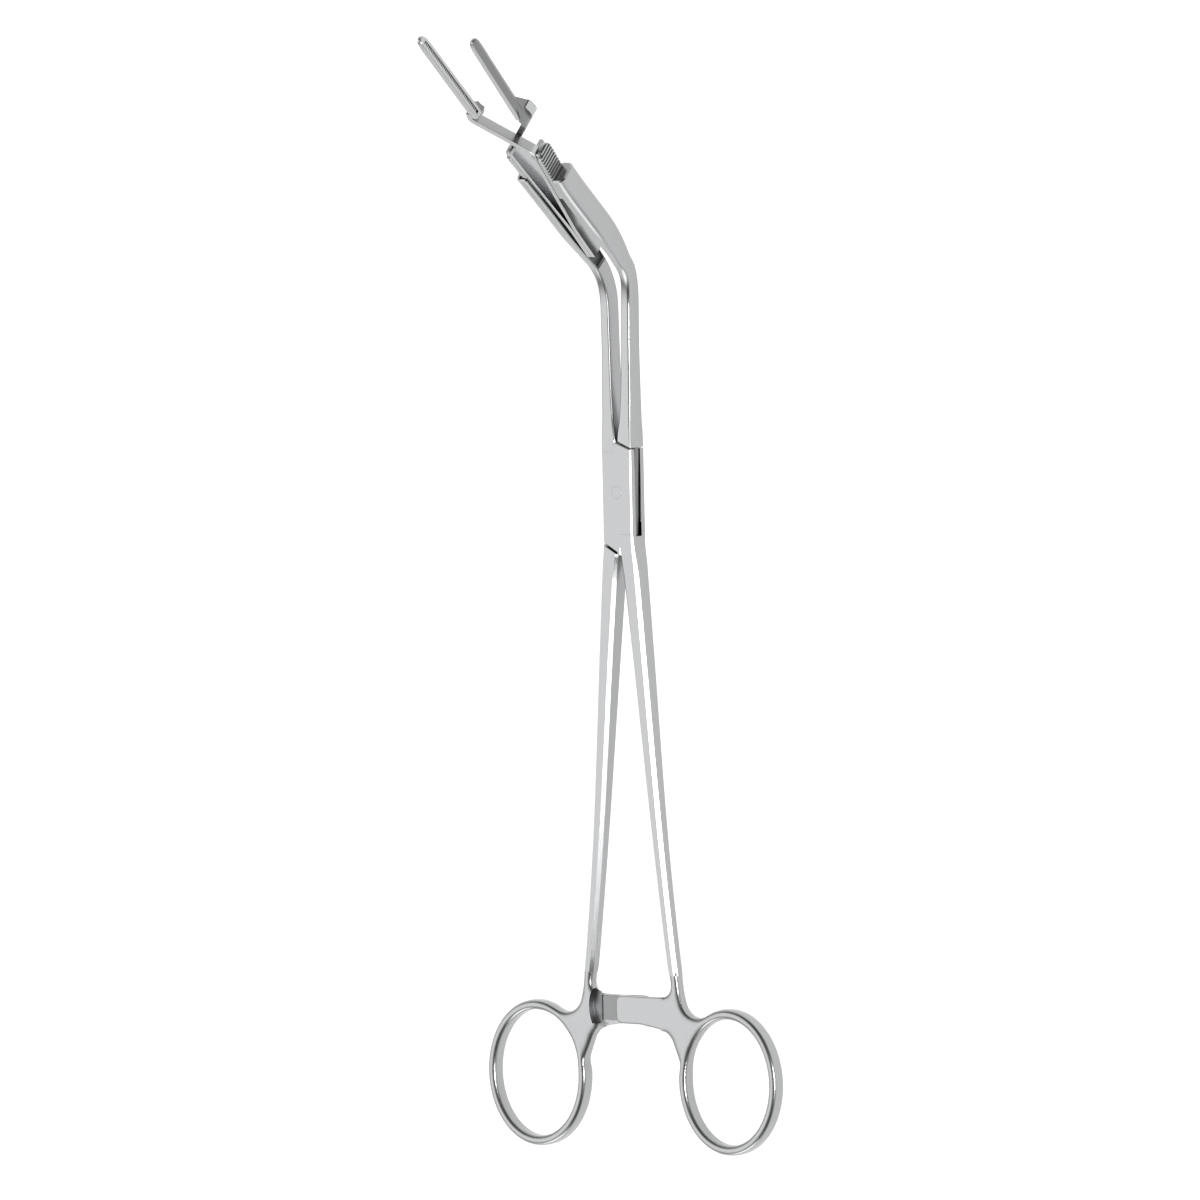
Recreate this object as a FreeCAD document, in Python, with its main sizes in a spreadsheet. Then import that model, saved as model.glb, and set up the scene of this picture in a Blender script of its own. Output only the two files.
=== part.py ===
import FreeCAD, Part
import os
import Sketcher

# Bulldog clamp applier with its clamp loaded, millimetres, +Z up.
# X is the opening direction, Y runs along the instrument towards the jaws and
# Z = 0 is the plane the box lies on. The origin is the box-lock pin axis in that plane.

os.makedirs("parts", exist_ok=True)
doc = FreeCAD.newDocument("clamp_applier")
sheet = doc.addObject("Spreadsheet::Sheet", "Sizes")
row = 0


def size(alias, value, note):
    """Write one named size into the sheet."""
    global row
    row += 1
    sheet.set("A%d" % row, note)
    sheet.set("B%d" % row, str(value))
    sheet.setAlias("B%d" % row, alias)


# Driving sizes, millimetres and degrees.
SIZES = {
    # Box lock: two cheeks with the tongue of the other half between them.
    "box_thickness": 5.4,  # box lock over both cheeks
    "cheek_thickness": 1.8,  # each cheek of the box
    "tongue_play": 0.05,  # clearance on each face of the tongue
    "box_half_width": 4.3,  # centre line to the side of the box
    "box_low_corner": 12.0,  # pin to the outer corner of the lower shoulder
    "low_slope": 2.2,  # rise of the lower shoulder across the box
    "box_top_corner": 10.2,  # pin to the outer corner of the upper shoulder
    "top_slope": 1.6,  # rise of the upper shoulder across the box
    "low_root_length": 0.6,  # lower shoulder to the end of its root block
    "top_root_length": 0.2,  # upper shoulder to the end of its root block
    "root_flare": 0.45,  # lower root wider than the box
    "box_edge": 0.35,  # rounding round the faces of the box
    "shoulder_gap": 0.12,  # gap between the shoulders of the two halves
    "middle_gap": 0.3,  # centre line to the inner flank of each root
    "neck_flank": 0.1,  # centre line to the inner flank of the tongue necks
    "tongue_inset": 0.9,  # lower shoulder corner to the round ends of the tongue
    "tongue_side_play": 0.1,  # side of the tongue inside the side of the box
    "slot_play": 0.1,  # clearance round the ends of the tongue
    "slot_flank": 0.05,  # centre line to the flank of the slot
    "root_inset": 0.1,  # face of the box to the face of the tongue roots
    "pin_radius": 1.5,  # box-lock pin
    "pin_play": 0.03,  # radial running clearance of the tongue on the pin
    # Handles: each shank is a loft through sections, then a ring.
    "handle_length": 138.0,  # pin to the centre of each finger ring
    "ring_x": 28.3,  # centre of each finger ring, from the centre line
    "ring_hole_x": 12.15,  # half the width of the finger hole
    "ring_hole_y": 14.85,  # half the length of the finger hole
    "ring_band": 2.4,  # ring band in the plane of the handles
    "ring_depth": 3.9,  # ring band in depth
    "ring_edge": 0.75,  # bevel of the ring edges
    "shank_corner": 0.7,  # corner rounding of the shanks
    "shank_root_x": 2.6,  # centre of the shank at the box, from the centre line
    "shank_in_ring": 1.65,  # outer rim of the ring to the centre of the shank's end
    "shank_past_top": 7.0,  # end of the shank to the ring centre, along the instrument
    "root_lap": 0.04,  # shanks into the root blocks of the box, from the shoulders
    "crotch_radius": 4.6,  # fillet between shank and ring
    "crotch_lean": 29.5,  # direction from the ring to the centre of that fillet
    "crotch_end_angle": 63.0,  # where the fillet meets the ring, round its oval
    "web_in_angle": 59.0,  # corner of the web inside the ring band
    "web_low_angle": 38.5,  # lower corner of the web inside the ring band
    "crotch_depth": 2.9,  # depth of the web under that fillet
    "web_lap": 1.4,  # web into the shank
    # Ratchet: two bars that lie over one another, teeth on the facing sides.
    "bar_rise": 19.3,  # ring centre to the upper edge of the ratchet bars
    "bar_width": 6.6,  # ratchet bars along the instrument
    "bar_reach": 4.3,  # ratchet bars past the centre line
    "bar_straight": 2.5,  # centre line to where the bars start to widen
    "bar_widening": 1.9,  # drop of the lower edge towards the shank
    "bar_low_in": 4.8,  # end of the shank to the lower inside corner of the bars
    "bar_low_round": 4.5,  # fillet in that corner
    "bar_top_in": 4.4,  # end of the shank to the upper inside corner of the bars
    "bar_top_round": 2.6,  # fillet in that corner
    "root_low_drop": 3.0,  # lower end of the bar root to the ring centre
    "root_low_in": 0.75,  # outer rim of the ring to the near side of the bar root
    "root_low_out": 1.55,  # outer rim of the ring to the far side of the bar root
    "root_top_rise": 6.2,  # upper edge of the bars to the upper end of the bar root
    "root_top_in": 3.8,  # end of the shank to the near side of the bar root's top
    "root_top_out": 2.4,  # end of the shank to the far side of the bar root's top
    "bar_thickness": 1.62,  # ratchet bar over the teeth
    "bar_play": 0.16,  # gap between the teeth of the two bars
    "bar_round": 2.2,  # corner rounding of the bar ends
    "tooth_pitch": 2.7,  # ratchet tooth pitch
    "tooth_depth": 0.6,  # ratchet tooth depth
    "tooth_start": 3.6,  # centre line to the last tooth edge near the bar end
    "tooth_count": 5,  # ratchet teeth on each bar
    "tooth_over": 2.0,  # tooth cutter past each edge of the bar
    "recess_x": 13.2,  # centre line to the outermost place of the milled ratchet recess
    "recess_radius": 11.2,  # curve of that side
    "recess_top": 1.7,  # recess past the upper edge of the ratchet bars
    "recess_low": 0.2,  # recess past their lower edge
    # Upper shanks and channel jaws, measured along the jaws from the bend.
    "bend_y": 50.0,  # pin to the bend of the jaws
    "bend_blend": 7.0,  # end of the straight shank to the bend
    "jaw_angle": 45.0,  # jaws out of the plane of the handles
    "neck_corner": 0.7,  # corner rounding of the upper shanks
    "jaw_length": 38.8,  # bend to the tips of the jaws
    "jaw_corner": 1.1,  # corner rounding of the jaws
    "channel_play": 0.2,  # clearance on each side of a finger plate in its channel
    "channel_cut": 4.0,  # channel cutter across the jaw
    "channel_corner": 0.3,  # corner of the channel floor
    "seat_gap": 0.2,  # ribs of a finger plate to the floor of its channel
    "seat_low": 5.8,  # tip of the jaw to the lower end of that seat
    "channel_over": 2.2,  # channel cutter past the tip of the jaw
    # Clamp: two crossing spring arms, each with a finger plate and a toothed jaw blade.
    "strip_width": 5.2,  # width of the spring strip
    "arm_play": 0.04,  # centre plane to each arm in the heel
    "clamp_x": -0.7,  # clamp off the centre line
    "heel_inset": 28.0,  # tips of the jaws to the end of the clamp heel
    "heel_half": 1.05,  # outer face of each arm in the heel
    "heel_length": 10.6,  # heel, to where the two legs part
    "heel_flare": 1.6,  # length over which the heel widens
    "leg_length": 26.4,  # leg, along the clamp
    "leg_spread": 3.9,  # inner face of the leg at its top
    "leg_thickness": 1.35,  # spring strip in the leg
    "cross_root": 0.9,  # top of the leg to the lower edge of the crossing strip
    "cross_thickness": 1.9,  # crossing strip along the clamp
    "cross_rise": 9.8,  # top of the leg to the lower edge of the strip at the jaw
    "cross_play": 0.05,  # middle plane to each crossing strip
    "cross_corner_x": 0.13,  # middle of the leg to the corner of the crossing strip
    "cross_corner_drop": 0.8,  # that corner under the full thickness of the strip
    "cross_far_in": 0.7,  # blade seat to the upper corner of the strip
    "root_seat_x": 6.8,  # face the blade is brazed to
    "root_thickness": 1.1,  # jaw root behind that face
    "root_rise": 4.8,  # lower edge of the crossing strip at the jaw to the top of the jaw root
    "root_heel": 0.7,  # the same to the lower outer corner of the jaw root
    "seat_rise": 2.3,  # the same to the lower end of the blade seat
    "blade_length": 27.7,  # jaw blade
    "blade_root": 1.0,  # blade in front of its seat
    "blade_tip": 1.6,  # thickness of the blade at its tip
    "blade_splay": 1.3,  # gripping face further out at the tip than at the root
    "blade_near": 0.1,  # middle plane to the near side of the blade
    "blade_tip_round": 1.0,  # rounding of the blade's tip
    "groove_width": 0.9,  # groove between the rails of the blade
    "groove_depth": 0.3,  # depth of that groove
    "plate_length": 15.6,  # finger plate
    "plate_thickness": 1.25,  # finger plate under its ribs
    "rib_height": 0.25,  # ribs of the finger plate
    "rib_pitch": 0.85,  # rib pitch
    "rib_width": 0.45,  # rib width
    "rib_start": 1.0,  # top end of the finger plate to the first rib
    "rib_count": 10,  # ribs on each finger plate
    "plate_round": 2.0,  # rounded top corners of the finger plate
    "cutter_clear": 30.0,  # reach of cutters past what they cut
    "cutter_over": 2.0,  # small cutters past what they cut
}
for alias, value in SIZES.items():
    size(alias, value, alias.replace("_", " "))

# Sections as rows: share of the length, then places across, width and depth. The width of the channel is a share.
SHANK = ((0.0, 0.0, 4.5, 5.2), (0.05, 0.055, 4.4, 5.1), (0.22, 0.195, 3.9, 4.7), (0.563, 0.473, 3.1, 3.7),
         (0.803, 0.719, 2.8, 3.4), (0.906, 0.859, 2.8, 3.4), (1.0, 1.0, 2.4, 3.2))
NECK = ((0.0, 2.32, 4.0, 5.15), (0.162, 2.6, 3.4, 4.7), (0.42, 2.85, 2.9, 4.1), (0.71, 2.95, 2.6, 3.8),
        (1.0, 3.1, 2.5, 3.7))
JAW = ((0.168, 5.1, 3.5, 2.8, 4.4), (0.309, 5.9, 3.75, 2.9, 5.4), (0.464, 6.05, 4.1, 3.3, 6.4),
       (0.657, 5.6, 4.5, 3.5, 6.6), (0.85, 5.2, 5.1, 3.5, 6.6), (1.0, 5.3, 5.7, 3.4, 6.4))
CHANNEL = ((0.155, 4.4, 2.8, 0.6), (0.374, 4.9, 3.2, 0.87), (0.541, 5.05, 3.7, 1.0), (0.709, 4.7, 4.7, 1.0))
doc.recompute()


def val(term):
    """Number behind a size name, which may carry a minus sign."""
    if isinstance(term, (int, float)):
        return float(term)
    return -float(sheet.get(term[1:])) if term[0] == "-" else float(sheet.get(term))


def mark(term):
    """Expression text for a size name or a number."""
    if isinstance(term, (int, float)):
        return "%.6g" % term
    return "-Sizes." + term[1:] if term[0] == "-" else "Sizes." + term


def bind(obj, prop, term):
    """Drive one property of an object from the sheet."""
    obj.setExpression(prop, mark(term))


def outline(name, points, lift=0.0):
    """Closed sketch through the points, each coordinate held by a constraint from the sheet."""
    sketch = doc.addObject("Sketcher::SketchObject", name)
    spots = [FreeCAD.Vector(val(x), val(y), 0) for x, y in points]
    count = len(spots)
    for i in range(count):
        sketch.addGeometry(Part.LineSegment(spots[i], spots[(i + 1) % count]), False)
    for i in range(count):
        sketch.addConstraint(Sketcher.Constraint("Coincident", i, 2, (i + 1) % count, 1))
    for i, (x, y) in enumerate(points):
        for kind, term in (("DistanceX", x), ("DistanceY", y)):
            k = sketch.addConstraint(Sketcher.Constraint(kind, -1, 1, i, 1, val(term)))
            sketch.setExpression("Constraints[%d]" % k, mark(term))
    bind(sketch, ".Placement.Base.z", lift)
    return sketch


def prism(name, points, lift, height):
    """Plate with the given outline between two levels."""
    solid = doc.addObject("Part::Extrusion", name)
    solid.Base = outline(name + "_outline", points, lift)
    solid.DirMode = "Custom"
    solid.Dir = FreeCAD.Vector(0, 0, 1)
    solid.Solid = True
    bind(solid, "LengthFwd", height)
    return solid


def section(name, width, depth, corner, x, y, z, tilt):
    """Rectangle with bevelled corners across a shank, width along X, turned about X by the tilt."""
    sketch = doc.addObject("Sketcher::SketchObject", name)
    half_w, half_d, bevel = val(width) / 2, val(depth) / 2, val(corner)
    w, d, r = mark(width) + " / 2", mark(depth) + " / 2", mark(corner)
    spots = []
    for sx, sy, near_end in ((1, -1, False), (1, -1, True), (1, 1, True), (1, 1, False),
                             (-1, 1, False), (-1, 1, True), (-1, -1, True), (-1, -1, False)):
        px = half_w if near_end else half_w - bevel
        py = half_d - bevel if near_end else half_d
        tx = w if near_end else "(" + w + " - " + r + ")"
        ty = "(" + d + " - " + r + ")" if near_end else d
        spots.append((sx * px, sy * py, "%d * %s" % (sx, tx), "%d * %s" % (sy, ty)))
    for i in range(8):
        a, b = spots[i], spots[(i + 1) % 8]
        sketch.addGeometry(Part.LineSegment(FreeCAD.Vector(a[0], a[1], 0), FreeCAD.Vector(b[0], b[1], 0)), False)
    for i in range(8):
        sketch.addConstraint(Sketcher.Constraint("Coincident", i, 2, (i + 1) % 8, 1))
        for kind, number, text in (("DistanceX", spots[i][0], spots[i][2]), ("DistanceY", spots[i][1], spots[i][3])):
            k = sketch.addConstraint(Sketcher.Constraint(kind, -1, 1, i, 1, number))
            sketch.setExpression("Constraints[%d]" % k, text)
    turn = FreeCAD.Rotation(FreeCAD.Vector(1, 0, 0), 90 + val(tilt))
    sketch.Placement = FreeCAD.Placement(FreeCAD.Vector(val(x), val(y), val(z)), turn)
    bind(sketch, ".Placement.Base.x", x)
    bind(sketch, ".Placement.Base.y", y)
    bind(sketch, ".Placement.Base.z", z)
    sketch.setExpression(".Placement.Rotation.Angle", "90 + " + mark(tilt))
    return sketch


def loft(name, sections, ruled=False):
    """Solid through a row of sections."""
    solid = doc.addObject("Part::Loft", name)
    solid.Sections = sections
    solid.Solid = True
    solid.Ruled = ruled
    return solid


def fuse(name, parts):
    """Join several shapes into one."""
    solid = doc.addObject("Part::MultiFuse", name)
    solid.Shapes = parts
    solid.Refine = False
    return solid


def common(name, one, other):
    """The material that two shapes share."""
    solid = doc.addObject("Part::Common", name)
    solid.Base = one
    solid.Tool = other
    return solid


def cut(name, base, tool):
    """One shape with another taken out of it."""
    solid = doc.addObject("Part::Cut", name)
    solid.Base = base
    solid.Tool = tool
    return solid


def mirror(name, source):
    """The same shape on the other side of the centre plane."""
    solid = doc.addObject("Part::Mirroring", name)
    solid.Source = source
    solid.Base = FreeCAD.Vector(0, 0, 0)
    solid.Normal = FreeCAD.Vector(1, 0, 0)
    return solid


def cylinder(name, radius, height, lift):
    """Upright post on the pin axis."""
    solid = doc.addObject("Part::Cylinder", name)
    bind(solid, "Radius", radius)
    bind(solid, "Height", height)
    bind(solid, ".Placement.Base.z", lift)
    return solid


def soften(name, source, rules, kind="Part::Fillet"):
    """Fillet or chamfer the edges that each rule's test picks."""
    doc.recompute()
    solid = doc.addObject(kind, name)
    solid.Base = source
    picked = []
    for radius, wanted in rules:
        picked += [(i, val(radius), val(radius)) for i, e in enumerate(source.Shape.Edges, 1) if wanted(e)]
    solid.Edges = picked
    return solid


def on_jaw(obj):
    """Seat an object built in the jaw's own plane: its Y runs along the jaw, its Z faces the front."""
    turn = FreeCAD.Rotation(FreeCAD.Vector(1, 0, 0), val("jaw_angle"))
    obj.Placement = FreeCAD.Placement(FreeCAD.Vector(val("clamp_x"), val("bend_y"), val("mid_z")), turn)
    bind(obj, ".Placement.Base.x", "clamp_x")
    bind(obj, ".Placement.Base.y", "bend_y")
    bind(obj, ".Placement.Base.z", "mid_z")
    bind(obj, ".Placement.Rotation.Angle", "jaw_angle")
    return obj


def flat_rim(edge):
    """True for an edge that lies in one level plane."""
    return edge.BoundBox.ZLength < 1e-6


def upright_at(edge, x, y):
    """True for an upright edge at the named place; either coordinate may be left open."""
    box = edge.BoundBox
    if box.XLength > 1e-6 or box.YLength > 1e-6:
        return False
    return (x is None or abs(box.XMin - val(x)) < 1e-4) and (y is None or abs(box.YMin - val(y)) < 1e-4)


# Sizes that follow from the ones above.
size("mid_z", "=box_thickness / 2", "middle plane of the instrument")
size("box_low_mid", "=box_low_corner + low_slope", "pin to the inner corner of the lower shoulder")
size("box_top_mid", "=box_top_corner + top_slope", "pin to the inner corner of the upper shoulder")
size("box_low_root", "=box_low_mid + low_root_length", "pin to the end of the lower root block")
size("box_top_root", "=box_top_mid + top_root_length", "pin to the end of the upper root block")
size("box_root_side", "=box_half_width + root_flare", "centre line to the side of the lower root")
size("low_corner_gap", "=box_low_corner + shoulder_gap", "lower root, outer corner")
size("low_mid_gap", "=box_low_mid + shoulder_gap", "lower root, inner corner")
size("top_corner_gap", "=box_top_corner + shoulder_gap", "upper root, outer corner")
size("top_mid_gap", "=box_top_mid + shoulder_gap", "upper root, inner corner")
size("tongue_reach", "=box_low_corner - tongue_inset", "pin to the round ends of the tongue")
size("tongue_side", "=box_half_width - tongue_side_play", "centre line to the side of the tongue")
size("tongue_thickness", "=box_thickness - 2 * cheek_thickness - 2 * tongue_play", "tongue")
size("tongue_z", "=cheek_thickness + tongue_play", "underside of the tongue")
size("slot_height", "=box_thickness - 2 * cheek_thickness", "slot between the cheeks")
size("slot_radius", "=tongue_reach + slot_play", "round ends of the slot")
size("tongue_hole", "=pin_radius + pin_play", "hole of the tongue")
size("root_height", "=box_thickness - 2 * root_inset", "tongue roots")
size("ring_y", "=handle_length", "pin to the centre of each finger ring")
size("ring_out_x", "=ring_hole_x + ring_band", "half the width of a ring")
size("ring_out_y", "=ring_hole_y + ring_band", "half the length of a ring")
size("ring_mid_x", "=ring_hole_x + ring_band / 2", "centre of the ring band, half width")
size("ring_mid_y", "=ring_hole_y + ring_band / 2", "centre of the ring band, half length")
size("ring_z", "=mid_z - ring_depth / 2", "underside of the rings")
size("shank_start", "=low_mid_gap + root_lap", "pin to the first section of the shank")
size("shank_end", "=ring_y - shank_past_top", "pin to the end of the shank")
size("shank_end_x", "=ring_x - ring_out_x + shank_in_ring", "end of the shank, from the centre line")
size("crotch_end_x", "=ring_x - ring_out_x * cos(crotch_end_angle * 1 deg)", "where the fillet meets the ring")
size("crotch_end_y", "=ring_y - ring_out_y * sin(crotch_end_angle * 1 deg)", "pin to that place")
size("crotch_x", "=crotch_end_x - crotch_radius * sin(crotch_lean * 1 deg)", "centre of the fillet")
size("crotch_y", "=crotch_end_y - crotch_radius * cos(crotch_lean * 1 deg)", "pin to that centre")
size("crotch_in_x", "=ring_x - ring_mid_x * cos(web_in_angle * 1 deg)", "corner of the web inside the ring band")
size("crotch_in_y", "=ring_y - ring_mid_y * sin(web_in_angle * 1 deg)", "pin to that corner")
size("web_low_x", "=ring_x - ring_mid_x * cos(web_low_angle * 1 deg)", "lower corner of the web in the band")
size("web_low", "=ring_y - ring_mid_y * sin(web_low_angle * 1 deg)", "pin to that corner")
size("web_left", "=shank_end_x - web_lap", "inner side of the web, inside the shank")
size("web_z", "=mid_z - crotch_depth / 2", "underside of the web")
size("bar_top", "=ring_y - bar_rise", "pin to the upper edge of the ratchet bars")
size("bar_bottom", "=bar_top + bar_width", "pin to the lower edge of the ratchet bars")
size("bar_low_x", "=shank_end_x - bar_low_in", "centre line to the lower inside corner of the bars")
size("bar_low_y", "=bar_bottom + bar_widening", "pin to that corner")
size("bar_top_x", "=shank_end_x - bar_top_in", "centre line to the upper inside corner of the bars")
size("bar_root_low_x", "=ring_x - ring_out_x + root_low_in", "lower end of the bar root")
size("bar_root_low", "=ring_y - root_low_drop", "pin to the lower end of the bar root")
size("bar_root_out_x", "=ring_x - ring_out_x + root_low_out", "outer side of the bar root, lower end")
size("bar_root_top", "=bar_top - root_top_rise", "pin to the upper end of the bar root")
size("bar_root_top_x", "=shank_end_x - root_top_in", "upper end of the bar root")
size("bar_root_out_top_x", "=shank_end_x - root_top_out", "outer side of the bar root, upper end")
size("bar_z", "=mid_z + bar_play / 2", "tips of the upper bar's teeth")
size("tooth_root_z", "=bar_z + tooth_depth", "roots of the upper bar's teeth")
size("tooth_under", "=bar_z - tooth_depth", "lower side of the tooth cutter")
size("tooth_cut_y", "=bar_top - tooth_over", "pin to the near end of the tooth cutter")
size("tooth_cut_length", "=bar_width + 2 * tooth_over", "tooth cutter along the instrument")
size("recess_mid_x", "=recess_x - recess_radius", "centre of the recess's curve")
size("recess_mid_y", "=bar_top + bar_width / 2", "pin to that centre")
size("recess_z", "=mid_z - bar_play / 2", "floor of the recess, level with the lower bar's teeth")
size("recess_depth", "=ring_depth / 2 + bar_play", "height of the recess cutter")
size("recess_top_y", "=bar_top - recess_top", "pin to the upper edge of the recess")
size("recess_low_y", "=bar_bottom + recess_low", "pin to the lower edge of the recess")
size("neck_start", "=top_mid_gap + root_lap", "pin to the first section of the upper shank")
size("neck_end", "=bend_y - bend_blend", "pin to the last section of the upper shank")
size("channel_width", "=strip_width + 2 * channel_play", "channel between the walls of the jaw")
size("strip_half", "=strip_width / 2", "half the width of the strip")
size("heel_s", "=jaw_length - heel_inset", "end of the clamp heel, along the jaw from the bend")
size("merge_s", "=heel_s + heel_length", "where the two legs part")
size("heel_shoulder", "=merge_s - heel_flare", "where the heel starts to widen")
size("leg_top_s", "=merge_s + leg_length", "top of the straight leg")
size("leg_top_x", "=leg_spread", "inner face of the leg at its top")
size("leg_lean", "=atan((leg_top_x - arm_play) / leg_length) / 1 deg", "lean of each leg")
size("leg_out_x", "=leg_top_x + leg_thickness * cos(leg_lean * 1 deg)", "outer face of the leg at its top")
size("leg_out_s", "=leg_top_s - leg_thickness * sin(leg_lean * 1 deg)", "height of that corner")
size("leg_foot_x", "=arm_play + leg_thickness * cos(leg_lean * 1 deg)", "outer face of the leg at its foot")
size("leg_foot_s", "=merge_s - leg_thickness * sin(leg_lean * 1 deg)", "height of that corner")
size("cross_start", "=leg_top_s - cross_root", "lower edge of the crossing strip at the leg")
size("cross_top_x", "=(leg_top_x + leg_out_x) / 2 + cross_corner_x", "upper corner of the crossing strip at the leg")
size("cross_top_s", "=leg_top_s + cross_thickness - cross_corner_drop", "height of that corner")
size("cross_low_x", "=root_seat_x + root_thickness / 2", "lower corner of the crossing strip at the jaw")
size("cross_low_s", "=leg_top_s + cross_rise", "height of that corner")
size("cross_far_x", "=root_seat_x - cross_far_in", "upper corner of the crossing strip at the jaw")
size("cross_far_s", "=cross_low_s + cross_thickness", "height of that corner")
size("cross_width", "=strip_half - cross_play", "crossing strip")
size("root_out_x", "=root_seat_x + root_thickness", "outer face of the jaw root")
size("root_low_s", "=cross_low_s + root_heel", "lower outer corner of the jaw root")
size("root_seat_s", "=cross_low_s + seat_rise", "lower end of the blade seat")
size("root_top_s", "=cross_low_s + root_rise", "upper end of the jaw root")
size("blade_tip_s", "=root_seat_s + blade_length", "tip of the jaw blade")
size("blade_inner", "=root_seat_x - blade_root", "gripping face of the blade at its root")
size("blade_tip_inner", "=blade_inner + blade_splay", "gripping face of the blade at its tip")
size("blade_tip_back", "=blade_tip_inner + blade_tip", "back of the blade at its tip")
size("blade_width", "=strip_half - blade_near", "jaw blade")
size("groove_side", "=blade_near + blade_width / 2 - groove_width / 2", "near side of the groove")
size("groove_floor", "=blade_inner + groove_depth", "floor of the groove at the root")
size("groove_tip_floor", "=blade_tip_inner + groove_depth", "floor of the groove at the tip")
size("groove_clear", "=blade_inner - cutter_over", "open side of the groove cutter")
size("clamp_clear", "=blade_tip_s + cutter_over", "end of the groove cutter")
size("plate_over", "=plate_thickness + rib_height", "finger plate over its ribs")
size("plate_clear", "=plate_thickness + cutter_over", "outer side of the rounding block")
for n, (along, out, w, d) in enumerate(SHANK, 1):
    size("shank_y_%d" % n, "=-shank_start - %g * (shank_end - shank_start)" % along, "shank section %d" % n)
    size("shank_x_%d" % n, "=shank_root_x + %g * (shank_end_x - shank_root_x)" % out, "shank section %d" % n)
    size("shank_w_%d" % n, w, "shank section %d, width" % n)
    size("shank_d_%d" % n, d, "shank section %d, depth" % n)
for n, (along, out, w, d) in enumerate(NECK, 1):
    size("neck_y_%d" % n, "=neck_start + %g * (neck_end - neck_start)" % along, "upper shank section %d" % n)
    size("neck_x_%d" % n, out, "upper shank section %d, from the centre line" % n)
    size("neck_w_%d" % n, w, "upper shank section %d, width" % n)
    size("neck_d_%d" % n, d, "upper shank section %d, depth" % n)
for n, (along, right, left, w, d) in enumerate(JAW, 1):
    size("jaw_s_%d" % n, "=%g * jaw_length" % along, "jaw section %d, place along the jaw" % n)
    size("jaw_y_at_%d" % n, "=bend_y + jaw_s_%d * cos(jaw_angle * 1 deg)" % n, "jaw section %d along Y" % n)
    size("jaw_z_at_%d" % n, "=mid_z + jaw_s_%d * sin(jaw_angle * 1 deg)" % n, "jaw section %d along Z" % n)
    size("jaw_x_%d" % n, right, "jaw section %d of the tongue half, from the centre line" % n)
    size("jaw_left_%d" % n, left, "jaw section %d of the box half, from the centre line" % n)
    size("jaw_w_%d" % n, w, "jaw section %d, thickness" % n)
    size("jaw_d_%d" % n, d, "jaw section %d, width" % n)
for n, (along, right, left, wide) in enumerate(CHANNEL, 1):
    size("channel_s_%d" % n, "=%g * jaw_length" % along, "channel section %d, place along the jaw" % n)
    size("channel_x_%d" % n, right, "channel section %d of the tongue half, floor" % n)
    size("channel_left_%d" % n, left, "channel section %d of the box half, floor" % n)
    size("channel_w_%d" % n, "=%g * channel_width" % wide, "channel section %d, between the walls" % n)
# The floor runs along the ribs of the finger plate to the tip, on both sides of the clamp's own centre.
CHANNEL_ENDS = ("jaw_length - seat_low", "jaw_length + (channel_over - seat_low) / 2", "jaw_length + channel_over")
for n, place in enumerate(CHANNEL_ENDS, len(CHANNEL) + 1):
    size("channel_s_%d" % n, "=" + place, "channel section %d, place along the jaw" % n)
    size("seat_x_%d" % n, "=leg_out_x + (channel_s_%d - leg_out_s) * tan(leg_lean * 1 deg)"
         " + plate_over / cos(leg_lean * 1 deg) + seat_gap" % n, "floor under the ribs")
    size("channel_x_%d" % n, "=seat_x_%d + clamp_x" % n, "channel section %d of the tongue half, floor" % n)
    size("channel_left_%d" % n, "=seat_x_%d - clamp_x" % n, "channel section %d of the box half, floor" % n)
    size("channel_w_%d" % n, "=channel_width", "channel section %d, between the walls" % n)
CHANNEL_COUNT = len(CHANNEL) + len(CHANNEL_ENDS)
for n in range(1, CHANNEL_COUNT + 1):
    size("channel_y_at_%d" % n, "=bend_y + channel_s_%d * cos(jaw_angle * 1 deg)" % n, "channel section %d, Y" % n)
    size("channel_z_at_%d" % n, "=mid_z + channel_s_%d * sin(jaw_angle * 1 deg)" % n, "channel section %d, Z" % n)
    size("channel_mid_%d" % n, "=channel_x_%d - channel_cut / 2" % n, "channel cutter %d, X" % n)
    size("channel_mid_left_%d" % n, "=channel_left_%d - channel_cut / 2" % n, "channel cutter %d, X" % n)
for n in range(int(val("tooth_count")) + 1):
    size("tooth_x_%d" % n, "=%d * tooth_pitch - tooth_start" % n, "ratchet tooth edge %d" % n)
for n in range(int(val("rib_count"))):
    size("rib_high_%d" % n, "=rib_start + %d * rib_pitch" % n, "upper edge of rib %d" % n)
    size("rib_low_%d" % n, "=rib_start + %d * rib_pitch + rib_width" % n, "lower edge of rib %d" % n)
doc.recompute()

# Box: cheeks with rounded rims, open on both flanks for the tongue.
box_plate = prism("box_plate", [
    ("-box_half_width", "-box_low_corner"), ("-middle_gap", "-box_low_mid"),
    ("middle_gap", "-box_low_mid"), ("middle_gap", "-box_low_root"),
    ("box_root_side", "-box_low_root"), ("box_half_width", "box_top_corner"),
    ("-middle_gap", "box_top_mid"), ("-middle_gap", "box_top_root"),
    ("-box_half_width", "box_top_root")], 0, "box_thickness")
box_rounded = soften("box_rounded", box_plate, [("box_edge", flat_rim)])
slot_disc = cylinder("slot_disc", "slot_radius", "slot_height", "cheek_thickness")
slot_low = prism("slot_low", [
    ("-cutter_clear", "-cutter_clear"), ("slot_flank", "-cutter_clear"),
    ("slot_flank", 0), ("-cutter_clear", 0)], "cheek_thickness", "slot_height")
slot_top = prism("slot_top", [
    ("-slot_flank", 0), ("cutter_clear", 0),
    ("cutter_clear", "cutter_clear"), ("-slot_flank", "cutter_clear")], "cheek_thickness", "slot_height")
slot = fuse("slot", [slot_disc, slot_low, slot_top])
pin_bore = cylinder("pin_bore", "pin_radius", "box_thickness", 0)
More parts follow.
